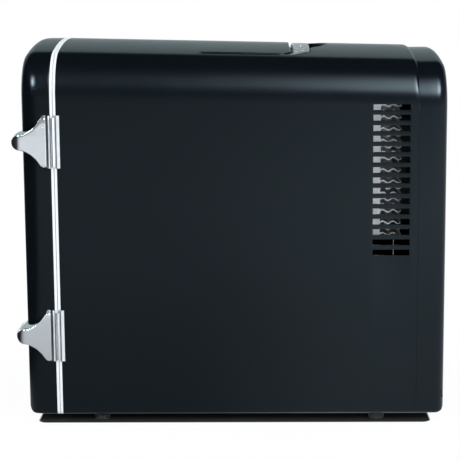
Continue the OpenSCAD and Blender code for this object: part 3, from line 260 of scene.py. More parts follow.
finishes = {
    # injection-moulded ABS: fine spark texture, soft sheen
    "blackAbs": {
        "dark": "#05090c", "light": "#090e13", "grain": 0.5 * mm, "cloud": 60 * mm, "depth": 0.003 * mm,
        "rough": (0.19, 0.25), "shader": {"IOR": 1.53, "Specular IOR Level": 0.235,
                                    "Specular Tint": hexColor("#e4f7ff")}},
    # injection-moulded polystyrene: smooth, a little uneven, reads as near-white
    "whitePolystyrene": {
        "dark": "#e9eaea", "light": "#f6f7f7", "grain": 0.8 * mm, "cloud": 25 * mm, "depth": 0.004 * mm,
        "rough": (0.28, 0.40), "shader": {"IOR": 1.59}},
    # foamed polyurethane: cut cells show as a pale yellow pitted surface
    "polyurethaneFoam": {
        "dark": "#cdbd8f", "light": "#e6dbb8", "grain": 0.7 * mm, "cloud": 18 * mm, "depth": 0.25 * mm,
        "rough": (0.85, 0.95), "shader": {"IOR": 1.4}},
    # chrome plate over a zinc casting: mirror with faint unevenness
    "chromePlate": {
        "dark": "#eff1f2", "light": "#ffffff", "grain": 1.2 * mm, "cloud": 9 * mm, "depth": 0.0015 * mm,
        "wave": 0.05 * mm, "rough": (0.05, 0.10), "shader": {"Metallic": 1.0}},
    # bright nickel of the hinge leaves: tumbled sheet, almost white, its barrel rubbed to a mirror
    "brightNickel": {
        "dark": "#f0f1f2", "light": "#fcfcfc", "grain": 0.5 * mm, "cloud": 7 * mm, "depth": 0.002 * mm,
        "rough": (0.28, 0.36)},
    # satin chrome on the carry handle: brushed before plating, so highlights are soft
    "satinChrome": {
        "dark": "#f5f2f2", "light": "#ffffff", "grain": 0.6 * mm, "cloud": 12 * mm, "depth": 0.002 * mm,
        "rough": (0.22, 0.30), "shader": {"Metallic": 1.0}},
    # zinc-plated steel: dull grey with slight spangle
    "zincSteel": {
        "dark": "#9b9fa2", "light": "#c2c5c7", "grain": 0.5 * mm, "cloud": 3 * mm, "depth": 0.003 * mm,
        "rough": (0.28, 0.42), "shader": {"Metallic": 1.0}},
    # extruded aluminium: pale, satin
    "extrudedAluminium": {
        "dark": "#eff1f1", "light": "#ffffff", "grain": 0.5 * mm, "cloud": 8 * mm, "depth": 0.004 * mm,
        "rough": (0.26, 0.38), "shader": {"Metallic": 1.0}},
    # glass-filled PBT of fans, sockets and switches: black, slightly dusty
    "blackPbt": {
        "dark": "#121314", "light": "#202223", "grain": 0.35 * mm, "cloud": 10 * mm, "depth": 0.008 * mm,
        "rough": (0.45, 0.60), "shader": {"IOR": 1.55}},
    # light grey PBT of the cold fan
    "greyPbt": {
        "dark": "#c3c5c6", "light": "#dadcdc", "grain": 0.35 * mm, "cloud": 10 * mm, "depth": 0.006 * mm,
        "rough": (0.40, 0.55), "shader": {"IOR": 1.55}},
    # moulded rubber: black, matte
    "rubber": {
        "dark": "#0e0e0f", "light": "#1b1b1c", "grain": 0.4 * mm, "cloud": 6 * mm, "depth": 0.02 * mm,
        "rough": (0.75, 0.90), "shader": {"IOR": 1.5}},
    # extruded soft vinyl of the gasket: grey-white, waxy
    "softVinyl": {
        "dark": "#cfd0d1", "light": "#e0e1e2", "grain": 0.9 * mm, "cloud": 14 * mm, "depth": 0.01 * mm,
        "rough": (0.50, 0.62), "shader": {"IOR": 1.54}},
    # sintered alumina: white, dry
    "alumina": {
        "dark": "#dcdcd6", "light": "#efefe9", "grain": 0.3 * mm, "cloud": 5 * mm, "depth": 0.006 * mm,
        "rough": (0.55, 0.70), "shader": {"IOR": 1.76}},
    # epoxy board with green solder mask
    "solderMask": {
        "dark": "#123a20", "light": "#1f5c33", "grain": 1.4 * mm, "cloud": 9 * mm, "depth": 0.02 * mm,
        "rough": (0.25, 0.40), "shader": {"IOR": 1.5}},
    # cast acrylic lens: green, glossy
    "greenAcrylic": {
        "dark": "#1f8a3c", "light": "#35a853", "grain": 1.0 * mm, "cloud": 4 * mm, "depth": 0.002 * mm,
        "rough": (0.10, 0.16), "shader": {"IOR": 1.49, "Transmission Weight": 0.35}},
    # frosted polystyrene of the shelf: pale, a little see-through
    "frostedPolystyrene": {
        "dark": "#cfd8dd", "light": "#e4ebee", "grain": 0.6 * mm, "cloud": 20 * mm, "depth": 0.01 * mm,
        "rough": (0.30, 0.42), "shader": {"IOR": 1.59, "Transmission Weight": 0.3}},
}
materials = {name: surfaceMaterial(name, look) for name, look in finishes.items()}

# bright nickel changes by distance from the hinge pin: the barrel is rubbed to a mirror, and painted shade
# darkens the crease beside it
leaf = {
    "pinLine": (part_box("hinge_pins")[0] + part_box("hinge_pins")[1]) / 2,
    "barrel": (1.65 * mm, 1.85 * mm),  # where the rubbed barrel ends, from the pin's line
    "metallic": (1.0, 0.35),
    "rough": (0.1, 0.32),
    # where the painted shade in the crease beside the barrel starts and ends, from the pin's line
    "creaseStart": (1.85 * mm, 1.9 * mm),
    "creaseEnd": (2.75 * mm, 2.3 * mm),
    # the pressed groove beside the casting, which also gets painted shade
    "groove": [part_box("upper_hinge_wing")[1].y + step * mm for step in (0.02, 1.2)],
    "grooveFade": 0.03 * mm,
    "grooveDepth": 0.4 * mm,
    "merge": 0.001 * mm,
    # colour of the painted shade in the crease and the groove
    "paintedShade": "#20272a",
}
tree = materials["brightNickel"].node_tree
shader = tree.nodes["Principled BSDF"]
place = addNode(tree, "ShaderNodeTexCoord")
flat = addNode(tree, "ShaderNodeVectorMath", {"operation": "MULTIPLY", 1: (1, 1, 0)}, {0: (place, "Object")})
pinAt = addNode(tree, "ShaderNodeVectorMath", {"operation": "DISTANCE", 1: (*leaf["pinLine"].xy, 0)},
                {0: (flat, 0)})
fromPin = []
for limits, values in ((leaf["barrel"], leaf["metallic"]), (leaf["barrel"], leaf["rough"]),
                       (leaf["creaseStart"], (0.0, 1.0)), (leaf["creaseEnd"], (0.0, 1.0))):
    fromPin.append(addNode(tree, "ShaderNodeMapRange", {"From Min": limits[0], "From Max": limits[1],
                                                        "To Min": values[0], "To Max": values[1]},
                           {"Value": (pinAt, "Value")}))
rubbed, smoothed, start, end = fromPin
tree.links.new(rubbed.outputs[0], shader.inputs["Metallic"])
tree.links.new(smoothed.outputs[0], shader.inputs["Roughness"])
# painted shade: the crease beside the barrel and the groove beside the casting are darkened in the colour,
# standing in for their shadow
paintedShadeMask = addNode(tree, "ShaderNodeMath", {"operation": "MULTIPLY"}, {0: (start, 0), 1: (end, 0)})
along = addNode(tree, "ShaderNodeSeparateXYZ", {}, {0: (place, "Object")})
start, end = [addNode(tree, "ShaderNodeMapRange", {"From Min": leaf["groove"][k] - leaf["grooveFade"],
                                                   "From Max": leaf["groove"][k] + leaf["grooveFade"],
                                                   "To Min": k, "To Max": 1 - k}, {"Value": (along, "Y")})
              for k in (0, 1)]
groove = addNode(tree, "ShaderNodeMath", {"operation": "MULTIPLY"}, {0: (start, 0), 1: (end, 0)})
paintedShadeMask = addNode(tree, "ShaderNodeMath", {"operation": "MAXIMUM"}, {0: (paintedShadeMask, 0), 1: (groove, 0)})
base = shader.inputs["Base Color"].links[0].from_node
# painted shade mixed into the leaf's base colour
paintedShade = addNode(tree, "ShaderNodeMix", {"data_type": "RGBA", 7: hexColor(leaf["paintedShade"])},
                 {0: (paintedShadeMask, 0), 6: (base, 2)})
tree.links.new(paintedShade.outputs[2], shader.inputs["Base Color"])

finishOfSlot = {
    "black_shell": "blackAbs", "white_moulding": "whitePolystyrene", "insulation": "polyurethaneFoam",
    "chrome": "chromePlate", "steel": "zincSteel", "aluminium": "extrudedAluminium",
    "black_plastic": "blackPbt", "light_plastic": "greyPbt", "rubber": "rubber",
    "gasket_vinyl": "softVinyl", "ceramic": "alumina", "board": "solderMask", "lens": "greenAcrylic",
    "shelf_plastic": "frostedPolystyrene"}
for part in frame["record"]["subparts"]:
    for slot in nodes[part["node"]].material_slots:
        slot.material = materials[finishOfSlot[part["material_slot"]]]
for name in ("upper_cabinet_leaf", "lower_cabinet_leaf", "upper_door_leaf", "lower_door_leaf"):
    for slot in nodes[name].material_slots:
        slot.material = materials["brightNickel"]
print("materials made:", len(materials))

# outer casing
casing = {
    "wall": 2.4 * mm,
    "edge": 0.35 * mm,
    "slots": 15,
    "slotPitch": 7.31 * mm,
    "slotHeight": 4.2 * mm,
    "slotLength": 26 * mm,
    "slotInset": 5.7 * mm,
    "slotMiddle": 173.4 * mm,
    "slotMargin": 1.5 * mm,
    "sideBand": 0.5 * mm,
    "steps": [0, 1.2, 40, 80, 120, 160, 200],  # rings from the front edge, in mm
    # back from the rear edge and down, in mm
    "lipFall": [(2.6, 0), (1.9, 0.1), (1.2, 0.35), (0.5, 0.85), (0, 1.5)],
}
slotMiddles = [casing["slotMiddle"] + (i - (casing["slots"] - 1) / 2) * casing["slotPitch"]
               for i in range(casing["slots"])]
slotLows = [z - casing["slotHeight"] / 2 for z in slotMiddles]
slotLevels = [z + step for z in slotLows for step in (0, casing["slotHeight"])]
slotRear = casingHigh.y - casing["slotInset"]
slotFront = slotRear - casing["slotLength"]


def casingRing(y, drop=0.0):
    return ringAt(y, bodyOutline(drop=fallAt(y) + drop, levels=slotLevels))


def lipDrop(y):
    back = (casingHigh.y - y) / mm
    steps = sorted(casing["lipFall"])
    for (b0, d0), (b1, d1) in zip(steps, steps[1:]):
        if b0 <= back <= b1:
            return (d0 + (d1 - d0) * (back - b0) / (b1 - b0)) * mm
    return 0.0


stations = [casingLow.y + step * mm for step in casing["steps"]]
stations += [slotFront - casing["slotMargin"], slotFront, slotRear, slotRear + casing["slotMargin"]]
stations += [casingHigh.y - back * mm for back, _ in casing["lipFall"]]
bm, rows = loft([casingRing(y, lipDrop(y)) for y in sorted(stations)])
slotFaces = []
for face in bm.faces:
    middle = face.calc_center_median()
    inRow = slotFront < middle.y < slotRear and abs(middle.x) > bodyShape["halfWidth"] - casing["sideBand"]
    if inRow and any(z < middle.z < z + casing["slotHeight"] for z in slotLows):
        slotFaces.append(face)
bmesh.ops.delete(bm, geom=slotFaces, context="FACES")
faceOutwards(bm)
casingPiece = addPiece("casingShell", bm, materials["blackAbs"])
addModifier(casingPiece, "SOLIDIFY", {"thickness": casing["wall"], "offset": -1})
addModifier(casingPiece, "BEVEL", {"width": casing["edge"], "segments": 2, "limit_method": "ANGLE",
                                   "angle_limit": math.radians(50), "harden_normals": False})
bakeModifiers(casingPiece)
print("casing shell:", len(casingPiece.data.polygons), "faces")

# handle well
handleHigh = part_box("carry_handle")[1]
wellShape = {
    "pivotY": handleHigh.y - 72 * mm,
    "bailWidth": 133 * mm,
    "arm": 3.2 * mm,
    "grip": 12.2 * mm,
    "length": 72 * mm,
    "gap": 0.8 * mm,
    "corner": 22 * mm,
    "frontEnd": 5.4 * mm,
    "finger": 14.5 * mm,
    "fingerRadius": 55 * mm,
    "depth": 17 * mm,
    "rim": 1.0 * mm,
    "flange": 0.8 * mm,
    "wall": 2.1 * mm,
    "cornerSteps": 10,
    "armSteps": 12,
    "fingerSteps": 16,
    "rimSteps": 6,
    "wallShares": (0.35, 0.7),
    "floorEdge": [(0, 1.2), (-0.35, 0.3), (-0.75, 0)],  # growth of the outline and height over the floor, in mm
    "cutter": (240 * mm, 300 * mm),
}


def wellOutline(grow):
    # one closed outline: outer side of the U, finger well, inner side round the island
    w = wellShape
    g = w["gap"] + grow
    gripRear = w["pivotY"] + w["length"]
    half = w["bailWidth"] / 2 + g
    corner = w["corner"] + g
    rear = gripRear + g
    front = w["pivotY"] - w["frontEnd"] - grow
    fingerR = w["fingerRadius"] + grow
    fingerY = gripRear + w["finger"] + grow - fingerR
    reach = math.sqrt(fingerR ** 2 - (rear - fingerY) ** 2)
    spread = math.degrees(math.asin(reach / fingerR))
    innerHalf = w["bailWidth"] / 2 - w["arm"] - g
    innerRear = gripRear - w["grip"] - g
    innerCorner = w["corner"] - w["grip"] - g
    n, arm = w["cornerSteps"], w["armSteps"]
    outerSide = [front + (rear - corner - front) * i / arm for i in range(arm)]
    points = [(half, y) for y in outerSide]
    points += arcPoints((half - corner, rear - corner), corner, 0, 90, n)
    points += arcPoints((0, fingerY), fingerR, 90 - spread, 90 + spread, w["fingerSteps"])
    points += arcPoints((-half + corner, rear - corner), corner, 90, 180, n)
    points += [(-half, y) for y in reversed(outerSide)]
    innerSide = [front + (innerRear - innerCorner - front) * i / arm for i in range(arm)]
    points += [(-innerHalf, y) for y in innerSide]
    points += arcPoints((-innerHalf + innerCorner, innerRear - innerCorner), innerCorner, 180, 90, n)
    points += arcPoints((innerHalf - innerCorner, innerRear - innerCorner), innerCorner, 90, 0, n)
    points += [(innerHalf, y) for y in reversed(innerSide)]
    return points


def wellRing(grow, down):
    return [Vector((x, y, topAt(x, y) - down)) for x, y in wellOutline(grow)]


rim = wellShape["rim"]
wellRings = [wellRing(rim + wellShape["flange"], 0), wellRing(rim, 0)]
for i in range(1, wellShape["rimSteps"] + 1):
    turn = math.radians(90 * i / wellShape["rimSteps"])
    wellRings.append(wellRing(rim * (1 - math.sin(turn)), rim * (1 - math.cos(turn))))
floorZ = bodyShape["crest"] - wellShape["depth"]
for down in wellShape["wallShares"]:
    wellRings.append([Vector((x, y, (topAt(x, y) - rim) * (1 - down) + (floorZ - fallAt(y)) * down))
                      for x, y in wellOutline(0)])
for grow, rise in wellShape["floorEdge"]:
    wellRings.append([Vector((x, y, floorZ - fallAt(y) + rise * mm)) for x, y in wellOutline(grow * mm)])
bm, rows = loft(wellRings)
capRing(bm, rows[-1])
bmesh.ops.triangulate(bm, faces=[f for f in bm.faces if len(f.verts) > 4])
faceOutwards(bm)
if sum(f.normal.z * f.calc_area() for f in bm.faces) < 0:
    bmesh.ops.reverse_faces(bm, faces=bm.faces)
wellPiece = addPiece("handleWell", bm, materials["blackAbs"], 40)
addModifier(wellPiece, "SOLIDIFY", {"thickness": wellShape["wall"], "offset": -1})
bakeModifiers(wellPiece)
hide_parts("handle_well")
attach(wellPiece, "cabinet")

bm = bmesh.new()
low, high = wellShape["cutter"]
growPrism(bm, [(x, y, low) for x, y in wellOutline(rim + wellShape["flange"])], (0, 0, high - low))
cutWith(casingPiece, cutterPiece("wellCutter", bm))
casingPiece.data.set_sharp_from_angle(angle=math.radians(35))
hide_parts("outer_casing")
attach(casingPiece, "cabinet")
print("handle well and casing opening cut")

# rear cover
cover = {
    "wall": 2.4 * mm,
    "sideIn": 0.4 * mm,
    "sideRadius": 8 * mm,
    "topRadius": 6 * mm,
    "baseRadius": 6 * mm,
    "step": 1.8 * mm,
    "seam": 0.2 * mm,
    "band": 1 * mm,
    "flat": 14 * mm,
    "edgeSteps": 14,
}


def edgeInset(radius, d):
    return 0 if d >= radius else radius - math.sqrt(radius ** 2 - (radius - d) ** 2)


def coverRing(d):
    return ringAt(coverHigh.y - d, bodyOutline(
        side=cover["sideIn"] + edgeInset(cover["sideRadius"], d),
        top=edgeInset(cover["topRadius"], d),
        base=edgeInset(cover["baseRadius"], d),
        drop=fallAt(casingHigh.y) + cover["step"]))


def edgeDepths(radius, steps):
    # depths below the face of the rings that round its edge, the face itself last
    return [radius * (1 - math.sin(math.radians(90 * i / steps))) for i in range(steps + 1)]


coverDepth = coverHigh.y - casingHigh.y - cover["seam"]
depths = [coverDepth, coverDepth - cover["band"], cover["flat"]]
depths += edgeDepths(cover["sideRadius"], cover["edgeSteps"])
bm, rows = loft([coverRing(max(d, 0)) for d in depths])
capRing(bm, rows[-1])
faceOutwards(bm)
coverPiece = addPiece("rearCover", bm, materials["blackAbs"], 35)
addModifier(coverPiece, "SOLIDIFY", {"thickness": cover["wall"], "offset": -1})
bakeModifiers(coverPiece)

# vents and openings of the rear cover, seen in x and z
vents = {
    "rings": [9 + 5.4 * i for i in range(6)],  # radii in mm
    "slot": 3.4 * mm,
    "start": 3,
    "sweep": 54,
    "slotSteps": 10,
    "lowX": [-36, -24, -12, 0, 12, 24, 36],  # in mm
    "lowZ": 91 * mm,
    "lowSize": (3.6 * mm, 18 * mm),
    "lowRadius": 1.6 * mm,
    "cornerSteps": 4,
    "reach": (-6 * mm, 6 * mm),  # cut before and past the cover's face
    # node and width of its flange
    "sockets": [("mains_inlet", 2.3 * mm), ("dc_inlet", 2.3 * mm), ("switch_housing", 1.3 * mm)],
    "lensHole": 2.45 * mm,
    "lensSteps": 36,
    # node of screws and radius of each screw's hole
    "screws": [("cover_screws", 3.1 * mm), ("fan_screws", 1.75 * mm)],
    "screwReach": (-25 * mm, 5 * mm),
    "screwSteps": 32,
    "screwGap": 12 * mm,  # vertices nearer than this belong to one screw
}


def middleOf(node):
    low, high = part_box(node)
    return (low.x + high.x) / 2, (low.z + high.z) / 2


def boxOutline(middle, size, radius=0.0):
    x, z = middle
    w, h = size[0] / 2 - radius, size[1] / 2 - radius
    corners = [(x + w, z + h), (x - w, z + h), (x - w, z - h), (x + w, z - h)]
    if not radius:
        return corners
    return [p for i, centre in enumerate(corners)
            for p in arcPoints(centre, radius, 90 * i, 90 * i + 90, vents["cornerSteps"])]


def slotOutline(radius, width, start, sweep):
    axis = (0, middleOf("hot_fan_rotor")[1])
    return (arcPoints(axis, radius + width / 2, start, start + sweep, vents["slotSteps"])
            + arcPoints(axis, radius - width / 2, start + sweep, start, vents["slotSteps"]))


def holeOutline(centre, radius, steps):
    # the last point is left out, because the outline closes there
    return arcPoints(centre, radius, 0, 360, steps)[:-1]


openings = [slotOutline(ring * mm, vents["slot"], turn + vents["start"], vents["sweep"])
            for ring in vents["rings"] for turn in range(0, 360, 60)]
openings += [boxOutline((x * mm, vents["lowZ"]), vents["lowSize"], vents["lowRadius"]) for x in vents["lowX"]]
for name, flange in vents["sockets"]:
    low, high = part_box(name)
    openings.append(boxOutline(middleOf(name), (high.x - low.x - 2 * flange, high.z - low.z - 2 * flange)))
openings.append(holeOutline(middleOf("indicator_lens"), vents["lensHole"], vents["lensSteps"]))


def screwPlaces(node):
    # middle of each loose screw of a node, from its vertices
    screws = []
    for vert in nodes[node].data.vertices:
        x, z = vert.co.x, vert.co.z
        near = [g for g in screws if max(abs(g[0][0] - x), abs(g[0][1] - z)) < vents["screwGap"]]
        if near:
            near[0].append((x, z))
        else:
            screws.append([(x, z)])
    return [[(min(values) + max(values)) / 2 for values in zip(*g)] for g in screws]


cuts = [(outline, vents["reach"]) for outline in openings]
for name, radius in vents["screws"]:
    holes = [holeOutline(place, radius, vents["screwSteps"]) for place in screwPlaces(name)]
    cuts += [(outline, vents["screwReach"]) for outline in holes]
bm = bmesh.new()
for outline, (start, end) in cuts:
    growPrism(bm, [(x, coverHigh.y + start, z) for x, z in outline], (0, end - start, 0))
cutWith(coverPiece, cutterPiece("coverCutter", bm))
coverPiece.data.set_sharp_from_angle(angle=math.radians(35))
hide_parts("rear_cover")
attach(coverPiece, "cabinet")
print("rear cover:", len(coverPiece.data.polygons), "faces")

# door shell
door = {
    "wall": 2.4 * mm,
    "sideRadius": 13.5 * mm,
    "topRadius": 9 * mm,
    "baseRadius": 6 * mm,
    "crown": 1.8 * mm,
    "band": 1 * mm,
    "edgeSteps": 20,
    "faceShares": (0.94, 0.85, 0.72, 0.58, 0.42, 0.26, 0.12),
}
doorPlane = shellLow.y + door["crown"]


def doorRing(d):
    return ringAt(doorPlane + d, bodyOutline(
        side=edgeInset(door["sideRadius"], d), top=edgeInset(door["topRadius"], d),
        base=edgeInset(door["baseRadius"], d)))


doorDepth = shellHigh.y - doorPlane
rings = [doorRing(max(d, 0)) for d in
         [doorDepth, doorDepth - door["band"]] + edgeDepths(door["sideRadius"], door["edgeSteps"])]
rim = rings[-1]
middleZ = (shellLow.z + shellHigh.z) / 2
for share in door["faceShares"]:
    faceY = shellLow.y + door["crown"] * share ** 2
    rings.append([Vector((p.x * share, faceY, middleZ + (p.z - middleZ) * share)) for p in rim])
bm, rows = loft(rings)
capRing(bm, rows[-1])
faceOutwards(bm)
doorPiece = addPiece("doorShell", bm, materials["blackAbs"], 35)
addModifier(doorPiece, "SOLIDIFY", {"thickness": door["wall"], "offset": -1})
bakeModifiers(doorPiece)
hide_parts("door_shell")
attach(doorPiece, "door")
print("door shell:", len(doorPiece.data.polygons), "faces")

# hinge castings and door pull: chromed bars bent round the door's front corner
castings = {
    # name, node, side, half height at the straight edge, nose radius, depth of the seat for the leaf
    "pieces": [
        ("upperCasting", "upper_hinge_wing", 1, 19 * mm, 7 * mm, 0.9 * mm),
        ("lowerCasting", "lower_hinge_wing", 1, 19 * mm, 7 * mm, 0.9 * mm),
        ("doorPull", "door_pull", -1, 34 * mm, 12 * mm, 0.02 * mm),
    ],
    "flank": 3.4 * mm,
    "waist": (8 * mm, 0.53),  # how far back, and its share of the half height
    "noseStart": 17 * mm,
    "noseTurn": 105,
    "tip": 1.3 * mm,
    "tipSteps": 8,
    "flankSteps": 24,
    "noseSteps": 30,
    "cornerSteps": 24,
    "sideSteps": 10,
    "edgeSteps": 6,
    "faceSteps": 5,
    "edge": 0.35 * mm,
    "edgeShares": (0.3, 0.45),  # most of the height and of the thickness that the rounded edge takes
    "draft": 1.7 * mm,
    "draftShare": 0.5,
    "bulge": 0.08 * mm,
    "squareness": 4.2,
    "seatLength": 10.2 * mm,
    "seatFloor": 0.02 * mm,
    "lip": 0.8 * mm,
    "sideGap": 0.05 * mm,
    "noseGap": 0.02 * mm,
    "faceGap": 0.12 * mm,
    "turnGap": 0.1 * mm,
    "faceShare": 0.45,  # of the door's crown, where the front end meets the door
    "innerRadius": door["sideRadius"] + 0.12 * mm,
    "outerRadius": 14.2 * mm,
    "endLength": 10 * mm,
    # back from the straight edge and below the outer face, in mm
    "rise": [(0, 0.36), (0.02, 0.25), (0.07, 0.14), (0.14, 0.06), (0.24, 0.015), (0.36, 0),
             (2, 0), (4, 0), (7, 0), (9.9, 0), (10.5, 0)],
    # reach from the rounded end and height over the front face, in mm
    "end": [(8, 0), (5, 0), (3, 0.08), (1.5, 0.35), (0.2, 0.95), (-0.6, 1.7), (-1.0, 2.6), (-1.1, 4.0)],
}


def halfOutline(straightY, noseY, tall, noseRadius):
    # half height of a casting for each depth, from its straight edge to its nose
    c = castings
    waistBack, waistShare = c["waist"]
    start = (straightY - c["flank"], tall)
    waist = (straightY - waistBack, tall * waistShare)
    end = (straightY - c["noseStart"], noseRadius)
    points = []
    for i in range(c["tipSteps"] + 1):
        back = c["tip"] * (1 - math.cos(math.radians(90 * i / c["tipSteps"])))
        points.append((straightY - back, tall - edgeInset(c["tip"], back)))
    for i in range(c["flankSteps"] + 1):
        t = i / c["flankSteps"]
        places = zip(start, waist, end)
        points.append(tuple((1 - t) ** 2 * a + 2 * t * (1 - t) * b + t * t * e for a, b, e in places))
    for i in range(c["noseSteps"] + 1):
        turn = math.radians(c["noseTurn"] + (180 - c["noseTurn"]) * i / c["noseSteps"])
        points.append((noseY + noseRadius * (1 + math.cos(turn)), noseRadius * math.sin(turn)))
    return points


def heightAt(outline, y):
    for (y0, h0), (y1, h1) in zip(outline, outline[1:]):
        if y1 <= y <= y0 and y0 > y1:
            return h0 + (h1 - h0) * (y0 - y) / (y0 - y1)
    return outline[0][1] if y > outline[0][0] else outline[-1][1]


def castingStations(sideX, outX, straightY, noseY):
    # pairs of points seen from above, one on the door and one on the casting's face
    c = castings
    inner, outer, power = c["innerRadius"], c["outerRadius"], c["squareness"]
    cornerX, cornerY = sideX - door["sideRadius"], doorPlane + door["sideRadius"]
    noseY = noseY + c["noseGap"]
    pairs = []
    for back, low in c["rise"]:
        pairs.append(((sideX, max(straightY - back * mm, cornerY)), (outX - low * mm, straightY - back * mm)))
    pairs.append(((sideX, cornerY), (outX, noseY + outer)))
    for i in range(1, c["cornerSteps"] + 1):
        turn = math.radians(-90 * i / c["cornerSteps"])
        reach = outer / (abs(math.cos(turn)) ** power + abs(math.sin(turn)) ** power) ** (1 / power)
        pairs.append(((cornerX + inner * math.cos(turn), cornerY + inner * math.sin(turn)),
                      (outX - outer + reach * math.cos(turn), noseY + outer + reach * math.sin(turn))))
    endX = cornerX - c["endLength"]
    faceY = doorPlane - c["faceShare"] * door["crown"]
    start = c["end"][0][0]
    for reach, low in c["end"]:
        share = min(max((start - reach) / start, 0), 1)
        inside = (cornerX - c["turnGap"] + (endX - cornerX) * share,
                  doorPlane - c["faceGap"] + (faceY - doorPlane) * share)
        pairs.append((inside, (endX + reach * mm, noseY + low * mm)))
    return pairs


def castingRing(inside, outside, outline, middleZ, seat):
    # ring across a casting: drafted upper side, rounded edge, slightly crowned face, and the same below
    c = castings
    along = Vector((outside[0] - inside[0], outside[1] - inside[1]))
    length = along.length
    along.normalize()
    faceH = heightAt(outline, outside[1])
    edge = min(c["edge"], c["edgeShares"][0] * faceH, c["edgeShares"][1] * length)
    draft = min(c["draft"], c["draftShare"] * faceH)

    def spot(t, z, back=0.0):
        reach = t * length - back
        return Vector((inside[0] + along.x * reach, inside[1] + along.y * reach, z))

    upper = []
    for i in range(c["sideSteps"] + 1):
        t = math.sin(math.radians(90 / c["sideSteps"] * i)) * (1 - edge / length)
        upper.append(spot(t, heightAt(outline, inside[1] + along.y * t * length) - draft * t))
    for i in range(1, c["edgeSteps"] + 1):
        turn = math.radians(90 / c["edgeSteps"] * i)
        t = 1 - edge / length * (1 - math.sin(turn))
        drop = edge * (1 - math.cos(turn))
        z = heightAt(outline, inside[1] + along.y * t * length) - draft - drop
        upper.append(spot(t, z, c["bulge"] * (z / faceH) ** 2 * t))
    for i in range(1, c["faceSteps"]):
        z = (faceH - draft - edge) * (1 - i / c["faceSteps"])
        upper.append(spot(1, z, c["bulge"] * (z / faceH) ** 2))
    lower = [Vector((p.x, p.y, -p.z)) for p in reversed(upper)]
    lipH = heightAt(outline, inside[1]) - c["lip"]
    seatPoints = [spot(0, -lipH), spot(seat / length, -lipH), spot(seat / length, lipH), spot(0, lipH)]
    return [p + Vector((0, 0, middleZ)) for p in upper + [spot(1, 0)] + lower + seatPoints]


for name, node, side, tall, noseRadius, seat in castings["pieces"]:
    low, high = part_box(node)
    outX = max(abs(low.x), abs(high.x))
    outline = halfOutline(high.y, low.y, tall, noseRadius)
    rings = []
    for inside, outside in castingStations(bodyShape["halfWidth"] + castings["sideGap"], outX, high.y, low.y):
        deep = seat if outside[1] > high.y - castings["seatLength"] else castings["seatFloor"]
        rings.append([Vector((side * p.x, p.y, p.z))
                      for p in castingRing(inside, outside, outline, (low.z + high.z) / 2, deep)])
    bm, rows = loft(rings)
    capRing(bm, rows[0])
    capRing(bm, rows[-1])
    faceOutwards(bm)
    piece = addPiece(name, bm, materials["chromePlate"], 40)
    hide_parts(node)
    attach(piece, "door")

# door leaves of the hinges, with a pressed groove beside the casting
for name, node in (("upperDoorLeaf", "upper_door_leaf"), ("lowerDoorLeaf", "lower_door_leaf")):
    bm = bmesh.new()
    bm.from_mesh(nodes[node].data)
    bmesh.ops.remove_doubles(bm, verts=bm.verts, dist=leaf["merge"])
    for y in leaf["groove"]:
        bmesh.ops.bisect_plane(bm, geom=bm.verts[:] + bm.edges[:] + bm.faces[:], dist=0.0001 * mm,
                               plane_co=(0, y, 0), plane_no=(0, 1, 0))
    start, end = leaf["groove"]
    strip = [f for f in bm.faces if start < f.calc_center_median().y < end and f.normal.x > 0.9]
    pressed = bmesh.ops.extrude_face_region(bm, geom=strip)["geom"]
    bmesh.ops.delete(bm, geom=[f for f in strip if f.is_valid], context="FACES_ONLY")
    bmesh.ops.translate(bm, verts=vertsOf(pressed), vec=(-leaf["grooveDepth"], 0, 0))
    faceOutwards(bm)
    piece = addPiece(name, bm, materials["brightNickel"], 35)
    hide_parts(node)
    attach(piece, "door")
print("hinge castings, leaves and pull made")

# carry handle: a flat bar bent to a U, wide at the grip, its top crowned like the casing's
bail = {
    "width": wellShape["bailWidth"],
    "arm": wellShape["arm"],
    "grip": wellShape["grip"],
    "corner": wellShape["corner"],
    "thickness": 7 * mm,
    "edge": 1.3 * mm,
    "under": 0.8 * mm,
    "edgeShares": (0.42, 0.3),  # most of the width that the upper and the lower rounding take
    "edgeSteps": 4,
    "endRadius": 3.8 * mm,
    "endSteps": 6,
    "endLeast": 0.12,  # share of the full height at the arm's very end
    "straightSteps": 8,
    "cornerSteps": 14,
    "bore": 1.56 * mm,
    "boreSteps": 48,
    "borePast": 10 * mm,
}
pinLow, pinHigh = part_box("handle_pins")
pivot = Vector((0, (pinLow.y + pinHigh.y) / 2, (pinLow.z + pinHigh.z) / 2))
crown = bodyShape["crownRadius"]


def bailHeight(x, down=0.0):
    return handleHigh.z - crown + math.sqrt((crown - down) ** 2 - x ** 2)


def bailSection(inside, outside, squash=1.0):
    # ring across the bar: flat top and underside with rounded edges
    away = Vector((outside[0] - inside[0], outside[1] - inside[1]))
    width = away.length
    away.normalize()
    points = []
    edge, under = [min(bail[key], width * share) for key, share in zip(("edge", "under"), bail["edgeShares"])]
    corners = [(width - edge, 0, edge, 90, 0), (width - under, bail["thickness"], under, 0, -90),
               (under, bail["thickness"], under, -90, -180), (edge, 0, edge, 180, 90)]
    for reach, down, radius, start, end in corners:
        for i in range(bail["edgeSteps"] + 1):
            turn = math.radians(start + (end - start) * i / bail["edgeSteps"])
            r = reach + radius * math.cos(turn)
            d = down + (radius if down == 0 else -radius) - radius * math.sin(turn)
            x, y = inside[0] + away.x * r, inside[1] + away.y * r
            z = bailHeight(x, d)
            points.append(Vector((x, y, pivot.z + (z - pivot.z) * squash if squash < 1 else z)))
    return points


